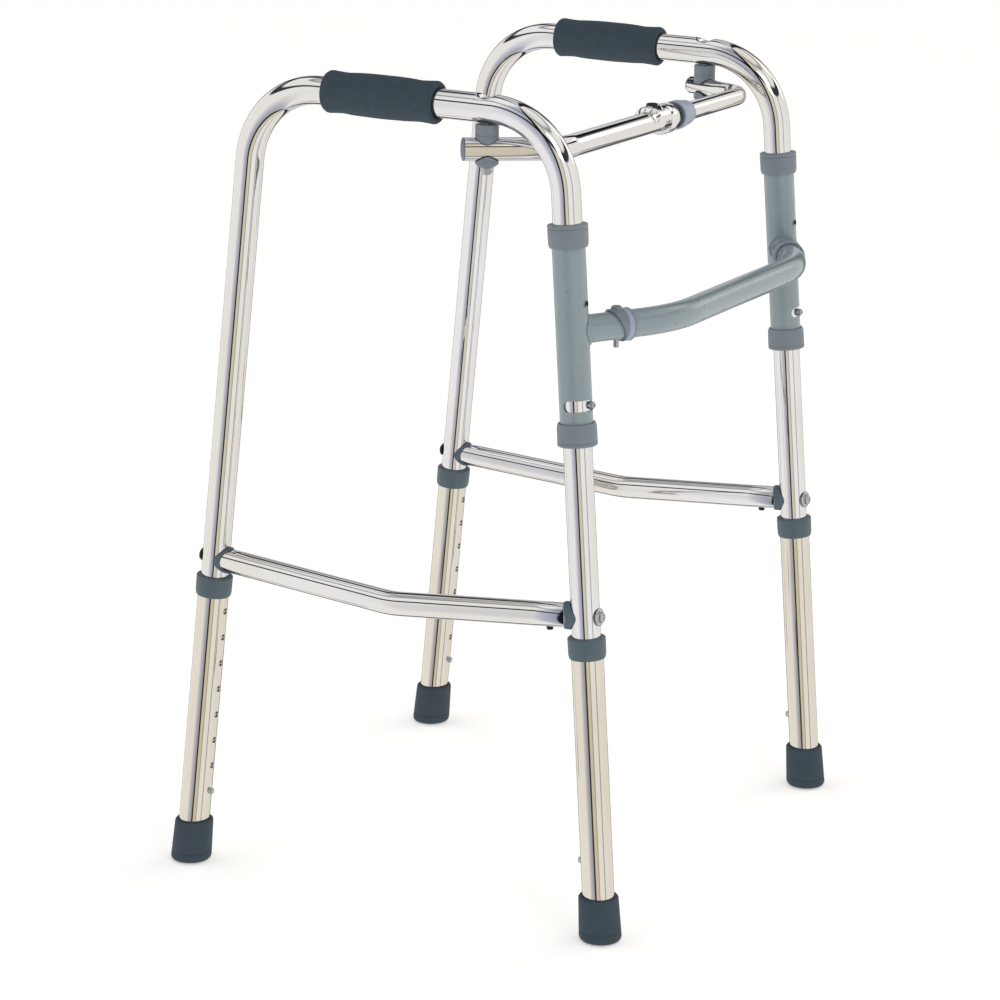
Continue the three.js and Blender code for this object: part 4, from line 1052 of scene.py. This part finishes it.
def studio(yaw):
    """The light round the object; what shows directly behind it is plain white."""
    world = bpy.data.worlds.new("studio")
    world.use_nodes = True
    tree = world.node_tree
    way = add(tree, "ShaderNodeTexCoord").outputs["Generated"]
    turn = (0, 0, math.radians(180 - yaw))
    there = add(tree, "ShaderNodeMapping", {"Vector": way, "Rotation": turn}).outputs[0]
    spin = add(tree, "ShaderNodeTexGradient", {0: there}, gradient_type="RADIAL").outputs[1]
    stops = [(0.5 + degrees / 360, colour) for degrees, colour in ROUND]
    high = add(tree, "ShaderNodeSeparateXYZ", {0: way}).outputs[2]
    both = add(tree, "ShaderNodeMix", {0: 1.0}, data_type="RGBA", blend_type="MULTIPLY")
    tree.links.new(ramp(tree, spin, stops), both.inputs[6])
    tree.links.new(ramp(tree, high, HEIGHT), both.inputs[7])
    seen = add(tree, "ShaderNodeLightPath").outputs[0]
    mix = add(tree, "ShaderNodeMix", {0: seen}, data_type="RGBA")
    tree.links.new(both.outputs[2], mix.inputs[6])
    mix.inputs[7].default_value = (1, 1, 1, 1)
    tree.links.new(mix.outputs[2], tree.nodes["Background"].inputs[0])
    tree.nodes["Background"].inputs[1].default_value = 1.0
    return world


class OBJECT_OT_walker_stage(bpy.types.Operator):
    """Set the camera, the pale floor, the soft lights and the dark cards for the tubes"""

    bl_idname = "object.walker_stage"
    bl_label = "Stage"

    def execute(self, context):
        scene = context.scene
        data = bpy.data.cameras.new("camera")
        data.lens, data.sensor_width = 122.41, 36.0
        camera = bpy.data.objects.new("camera", data)
        pitch, yaw, roll = 0.2556969, 0.4818809, 0.00454
        look = np.array([math.cos(yaw) * math.cos(pitch), math.sin(yaw) * math.cos(pitch),
                         -math.sin(pitch)])
        right = np.array([math.sin(yaw), -math.cos(yaw), 0.0])
        over = np.cross(right, look)
        x = math.cos(roll) * right + math.sin(roll) * over
        y = -math.sin(roll) * right + math.cos(roll) * over
        at = (-2.777142, -1.437394, 1.140097)
        camera.matrix_world = Matrix([[*row, c] for row, c in zip(np.stack([x, y, -look], 1), at)]
                                     + [[0, 0, 0, 1]])
        scene.collection.objects.link(camera)
        scene.camera = camera
        scene.view_settings.view_transform = "Standard"
        scene.world = studio(math.degrees(yaw))
        floor = stage_plane("floor", [(-9, -9, -0.0005), (9, -9, -0.0005), (9, 9, -0.0005),
                              (-9, 9, -0.0005)], "#FFFDFA", 0.4)
        floor.visible_glossy = False
        lamp("key", (-2.2, -2.6, 3.0), (0, 0, 0.4), 1.6, 1.6, 14)
        lamp("fill", (2.6, -1.4, 2.2), (0, 0, 0.4), 1.2, 1.8, 6)
        return {"FINISHED"}


# ---- Operators ----------------------------------------------------------------------------------


class WalkerOperator:
    """What the operators share: the layout and the tube sizes from the scene's settings."""

    bl_options = {"REGISTER", "UNDO"}

    def execute(self, context):
        lay = Layout(context.scene.walker_stance)
        self.build(lay, context.scene.walker_tubes)
        return {"FINISHED"}


class OBJECT_OT_walker_side_frames(WalkerOperator, bpy.types.Operator):
    """Build the two bent frame tubes"""

    bl_idname = "object.walker_side_frames"
    bl_label = "Side frames"

    def build(self, lay, tubes):
        pair("side_tube", [(side_tube_rows(lay, tubes), "polished_tube")])


class OBJECT_OT_walker_grips(WalkerOperator, bpy.types.Operator):
    """Build the two foam hand grips"""

    bl_idname = "object.walker_grips"
    bl_label = "Hand grips"

    def build(self, lay, tubes):
        for made in pair("grip", [(grip_rows(lay, tubes), "foam")], sharp=60):
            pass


class OBJECT_OT_walker_legs(WalkerOperator, bpy.types.Operator):
    """Build the leg extensions with their collars, feet and snap clips"""

    bl_idname = "object.walker_legs"
    bl_label = "Legs"

    def build(self, lay, tubes):
        for end in ENDS:
            place = axes(lay.leg(end, COLLAR_Z[end]), lay.up(end), lay.partner(end))
            ring = turned(tube_collar(14.6, 16.8, 19, 2), place, 64)
            pair(f"{end}_leg_tube", leg_parts(lay, tubes, end))
            pair(f"{end}_leg_collar", [(ring, "slate_plastic")], 0.4)
            pair(f"{end}_foot", foot_parts(lay, tubes, end))
            pair(f"{end}_leg_clip", clip_parts(lay, end))


class OBJECT_OT_walker_side_bars(WalkerOperator, bpy.types.Operator):
    """Build the side bars with their saddles, screws and snap pins"""

    bl_idname = "object.walker_side_bars"
    bl_label = "Side bars"

    def build(self, lay, tubes):
        pair("side_bar", side_bar_parts(lay, tubes))
        pair("side_bar_front_saddle", bar_saddle_parts(lay, "front", 6.2), 0.4)
        pair("side_bar_rear_saddle", bar_saddle_parts(lay, "rear", 2.6), 0.3)
        pair("front_screw", front_screw_parts(lay))
        pair("rear_bolt", rear_bolt_parts(lay))
        pair("side_bar_snap_pin", bar_pin_parts(lay))


class OBJECT_OT_walker_sleeves(WalkerOperator, bpy.types.Operator):
    """Build the swivel sleeves with their collars, stop screws, rings and pins"""

    bl_idname = "object.walker_sleeves"
    bl_label = "Sleeves"

    def build(self, lay, tubes):
        up = lay.up("front")
        profile = tube_collar(14.7, 17.5, 20, 2, 0.5)
        top = turned(profile, axes(lay.leg("front", SLEEVE_TOP_Z), up, ACROSS), 64)
        low = turned(profile, axes(lay.leg("front", SLEEVE_LOW_Z), -up, ACROSS), 64)
        pair("sleeve", sleeve_parts(lay, tubes))
        pair("sleeve_top_collar", [(top, "grey_plastic")], 0.3)
        pair("sleeve_bottom_collar", [(low, "grey_plastic")], 0.3)
        pair("limit_screw", limit_screw_parts(lay))
        pair("stub_ring", stub_ring_parts(lay, tubes))
        pair("stub_snap_pin", stub_pin_parts(lay, tubes))


class OBJECT_OT_walker_lower_bar(WalkerOperator, bpy.types.Operator):
    """Build the lower cross bar"""

    bl_idname = "object.walker_lower_bar"
    bl_label = "Lower cross bar"

    def build(self, lay, tubes):
        fitted("lower_cross_bar", lower_bar_parts(lay, tubes))


class OBJECT_OT_walker_upper_bar(WalkerOperator, bpy.types.Operator):
    """Build the two halves of the upper cross bar with their pivots"""

    bl_idname = "object.walker_upper_bar"
    bl_label = "Upper cross bar"

    def build(self, lay, tubes):
        for side, name, end in (("left", "thin_half", 40), ("right", "thick_half", -14)):
            radius = mm(tubes, name)
            fitted(f"{side}_upper_bar", upper_bar_parts(lay, radius, end))
            fitted(f"{side}_upper_bar_end_cap", end_cap_parts(lay, radius))
            fitted(f"{side}_pivot_spacer", spacer_parts(lay, radius))
            fitted(f"{side}_pivot_saddle", saddle_parts(lay, radius), 0.4)
            fitted(f"{side}_pivot_bolt", bolt_parts(lay, radius))
            fitted(f"{side}_pivot_nut", nut_parts(lay, radius), 0.2)


class OBJECT_OT_walker_latch(WalkerOperator, bpy.types.Operator):
    """Build the middle latch: housing, button and plug bush"""

    bl_idname = "object.walker_latch"
    bl_label = "Latch"

    def build(self, lay, tubes):
        fitted("latch_housing", latch_parts(lay), 0.3)
        fitted("latch_button", latch_button_parts(lay))
        fitted("plug_bush", bush_parts(lay))


class VIEW3D_PT_walker(bpy.types.Panel):
    """The walking frame's sizes and steps"""

    bl_label = "Walking frame"
    bl_idname = "VIEW3D_PT_walker"
    bl_space_type = "VIEW_3D"
    bl_region_type = "UI"
    bl_category = "Walking frame"

    def draw(self, context):
        for group in (context.scene.walker_stance, context.scene.walker_tubes):
            for name in group.__annotations__:
                self.layout.prop(group, name)
        for step in STEPS:
            self.layout.operator(step.bl_idname)


STEPS = (
    OBJECT_OT_walker_stage,
    OBJECT_OT_walker_side_frames,
    OBJECT_OT_walker_grips,
    OBJECT_OT_walker_legs,
    OBJECT_OT_walker_side_bars,
    OBJECT_OT_walker_sleeves,
    OBJECT_OT_walker_lower_bar,
    OBJECT_OT_walker_upper_bar,
    OBJECT_OT_walker_latch,
)
CLASSES = (StanceSizes, TubeSizes, *STEPS, VIEW3D_PT_walker)


def register():
    """Adds the classes and the scene's settings."""
    for item in CLASSES:
        bpy.utils.register_class(item)
    bpy.types.Scene.walker_stance = bpy.props.PointerProperty(type=StanceSizes)
    bpy.types.Scene.walker_tubes = bpy.props.PointerProperty(type=TubeSizes)


def unregister():
    """Takes them away again."""
    del bpy.types.Scene.walker_tubes
    del bpy.types.Scene.walker_stance
    for item in reversed(CLASSES):
        bpy.utils.unregister_class(item)


def main():
    """Registers the add-on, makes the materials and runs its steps."""
    register()
    make_materials()
    for step in STEPS:
        area, name = step.bl_idname.split(".")
        getattr(getattr(bpy.ops, area), name)()


if __name__ == "__main__":
    main()
